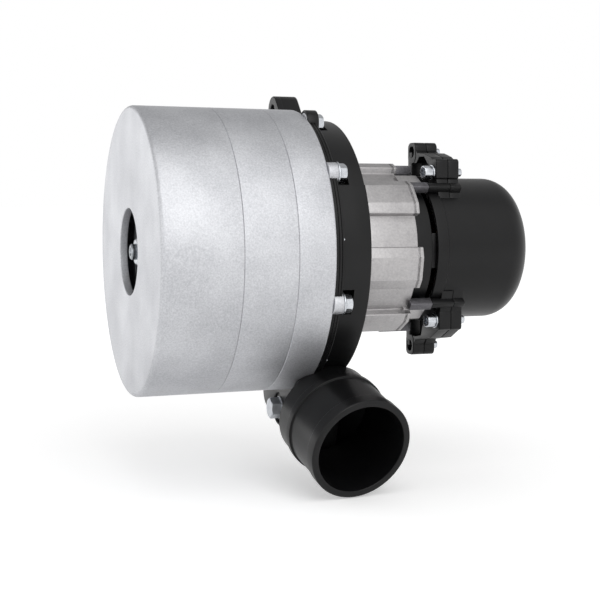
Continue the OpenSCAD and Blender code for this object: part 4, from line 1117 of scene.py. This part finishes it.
# %% [markdown]
# ## Brush tubes, lids and springs
#
# Each brush slides in a drawn brass tube, closed by a lid that its spring pushes against. Tube and lid
# are rectangles carried along and stood up, and the spring is a wire carried along a helix. All of it
# is hidden by the cap, so the wire has only ten sides.

# %% Brush tubes and lids
tube_from, tube_to, lid_to, tube_wall = 18.4, 36.4, 38.4, 1
tube_outside, tube_bore = tube_outline(0, 0.4, 3), tube_outline(-tube_wall, 0.2, 2)
tubes, tube_lids = [], []
for side in (1, -1):
    low, high = sorted((side * tube_from, side * tube_to))
    tubes.append(upright(plate(tube_outside, low, high, 0.15, [tube_bore])))
    low, high = sorted((side * tube_to, side * lid_to))
    tube_lids.append(upright(plate(tube_outside, low, high, 0.3)))
make_piece("brush_tubes_drawn", joined(tubes), drawn_brass, replaces=["brush_tubes"])
make_piece("tube_lids", joined(tube_lids), satin_nylon, replaces=["tube_caps"])

# %% Brush springs
def coil(side, z_from, z_to, turns=3.0, r=3.2, wire=0.45):
    """A wire carried along a helix: centre(s) = (r cos s, r sin s, z_from + rise s), and round it the
    circle wire (cos b n + sin b k), with n pointing outwards and k along the coil."""
    count = int(turns * 20)
    a = np.linspace(0, 2 * np.pi * turns, count + 1)[:, None]
    b = np.linspace(0, 2 * np.pi, 10, endpoint=False)[None, :]
    ring = r + wire * np.cos(b)
    points = np.stack([brush_x + ring * np.cos(a), ring * np.sin(a),
                       side * (z_from + (z_to - z_from) * a / a[-1] + wire * np.sin(b))], -1)
    ends = [points[:1] * 0 + points[0].mean(0), points, points[:1] * 0 + points[-1].mean(0)]
    points = np.concatenate(ends)
    return outward(points.reshape(-1, 3), grid_quads(len(points), 10))


for side, node in ((1, "spring_top"), (-1, "spring_bottom")):
    make_piece(node + "_wound", coil(side, 32.6, 35.8), spring_wire, replaces=[node])

# %% [markdown]
# ## Cap
#
# The cap is a deep cup with a generous radius at its closed end and a slightly thicker rim. Inside and
# outside are one closed profile, turned about the shaft, and the rear halves of the lugs stand on it.

# %% Cap
cap_start, rim_end, cap_end, cap_r, rim_r, cap_bore = 152, 158, 208, 37.5, 38.2, 36.1
cap_profile = rounded([(cap_start, cap_bore), (cap_start, rim_r), (rim_end, rim_r), (rim_end + 0.6, cap_r),
                       (cap_end, cap_r), (cap_end, 0.02), (cap_end - 2.5, 0.02), (cap_end - 2.5, cap_bore)],
                      [0.3, 0.4, 0.2, 0.3, 14.0, 0.01, 0.01, 11.5], 12)
rear_halves = [lug_half(lug_split, lug_rear, side, cap_r, shank_bore, shank_bore) for side in both_sides]
rear_bars = [bar(side, lug_split, lug_rear, cap_r - 1, bar_top, bar_half) for side in both_sides]
make_piece("cap_shell", joined([turned(cap_profile, 224)] + rear_halves + rear_bars), satin_nylon,
           replaces=["fan_cover"], sharp=30)

# %% [markdown]
# ## Socket screws and washers of the lugs
#
# Screws with a hexagon socket hold bracket and cap together. They are put in from the frame's side,
# and their rounded tips come out behind. The near heads lie on washers in front of their lugs, and the
# far heads are sunk in theirs. Head and socket are one grid, so that the socket needs no cut.

# %% Socket screws and washers of the lugs
tip_x, shank_r, socket_half = 173.4, 2.15, 1.8
near_seat, far_seat = 156.2, 162.2


def socket_screw(place, seat, head_length, head_r):
    """Rounded tip, shank, head and hexagon socket in one grid: every ring is a radius r(a) at its own
    x, round for the outside and six-sided, socket_half / cos(a - nearest flat), for the socket. The
    first and the last ring have no radius and close the tip and the socket's floor."""
    front = seat - head_length
    body = rounded([(tip_x, 0.02), (tip_x, shank_r), (seat, shank_r), (seat, head_r), (front, head_r),
                    (front, 2.45)], [0.01, 0.8, 0.1, 0.2, 0.5, 0.01], 6)
    a = np.linspace(0, 2 * np.pi, 72, endpoint=False)
    six = socket_half / np.cos((a + np.pi / 6) % (np.pi / 3) - np.pi / 6)
    rows = [(tip_x, 0 * a)] + [(x, r + 0 * a) for x, r in body]
    rows += [(front + 0.1, six), (front + 1.6, six), (front + 1.8, 0 * a)]
    points = np.stack([np.stack([x + 0 * a, place[0] - r * np.cos(a), place[1] + r * np.sin(a)], -1)
                       for x, r in rows])
    return outward(points.reshape(-1, 3), grid_quads(len(rows), len(a)))


screws = [socket_screw(near_lug[side] * mirror_of[side], near_seat, 4.6, 3.5) for side in both_sides]
screws += [socket_screw(far_lug[side] * mirror_of[side], far_seat, 2.8, 2.8) for side in both_sides]
make_piece("cap_screws_dressed", joined(screws), zinc_plate, replaces=["cap_screws"])
washer_profile = rounded([(near_seat, 2.3), (near_seat, 4.0), (lug_front, 4.0), (lug_front, 2.3)],
                         [0.2, 0.3, 0.2, 0.2], 4)
washers = [turned(washer_profile, 48, near_lug[side] * mirror_of[side]) for side in both_sides]
make_piece("cap_washers", joined(washers), zinc_plate, replaces=["cap_spacers"])
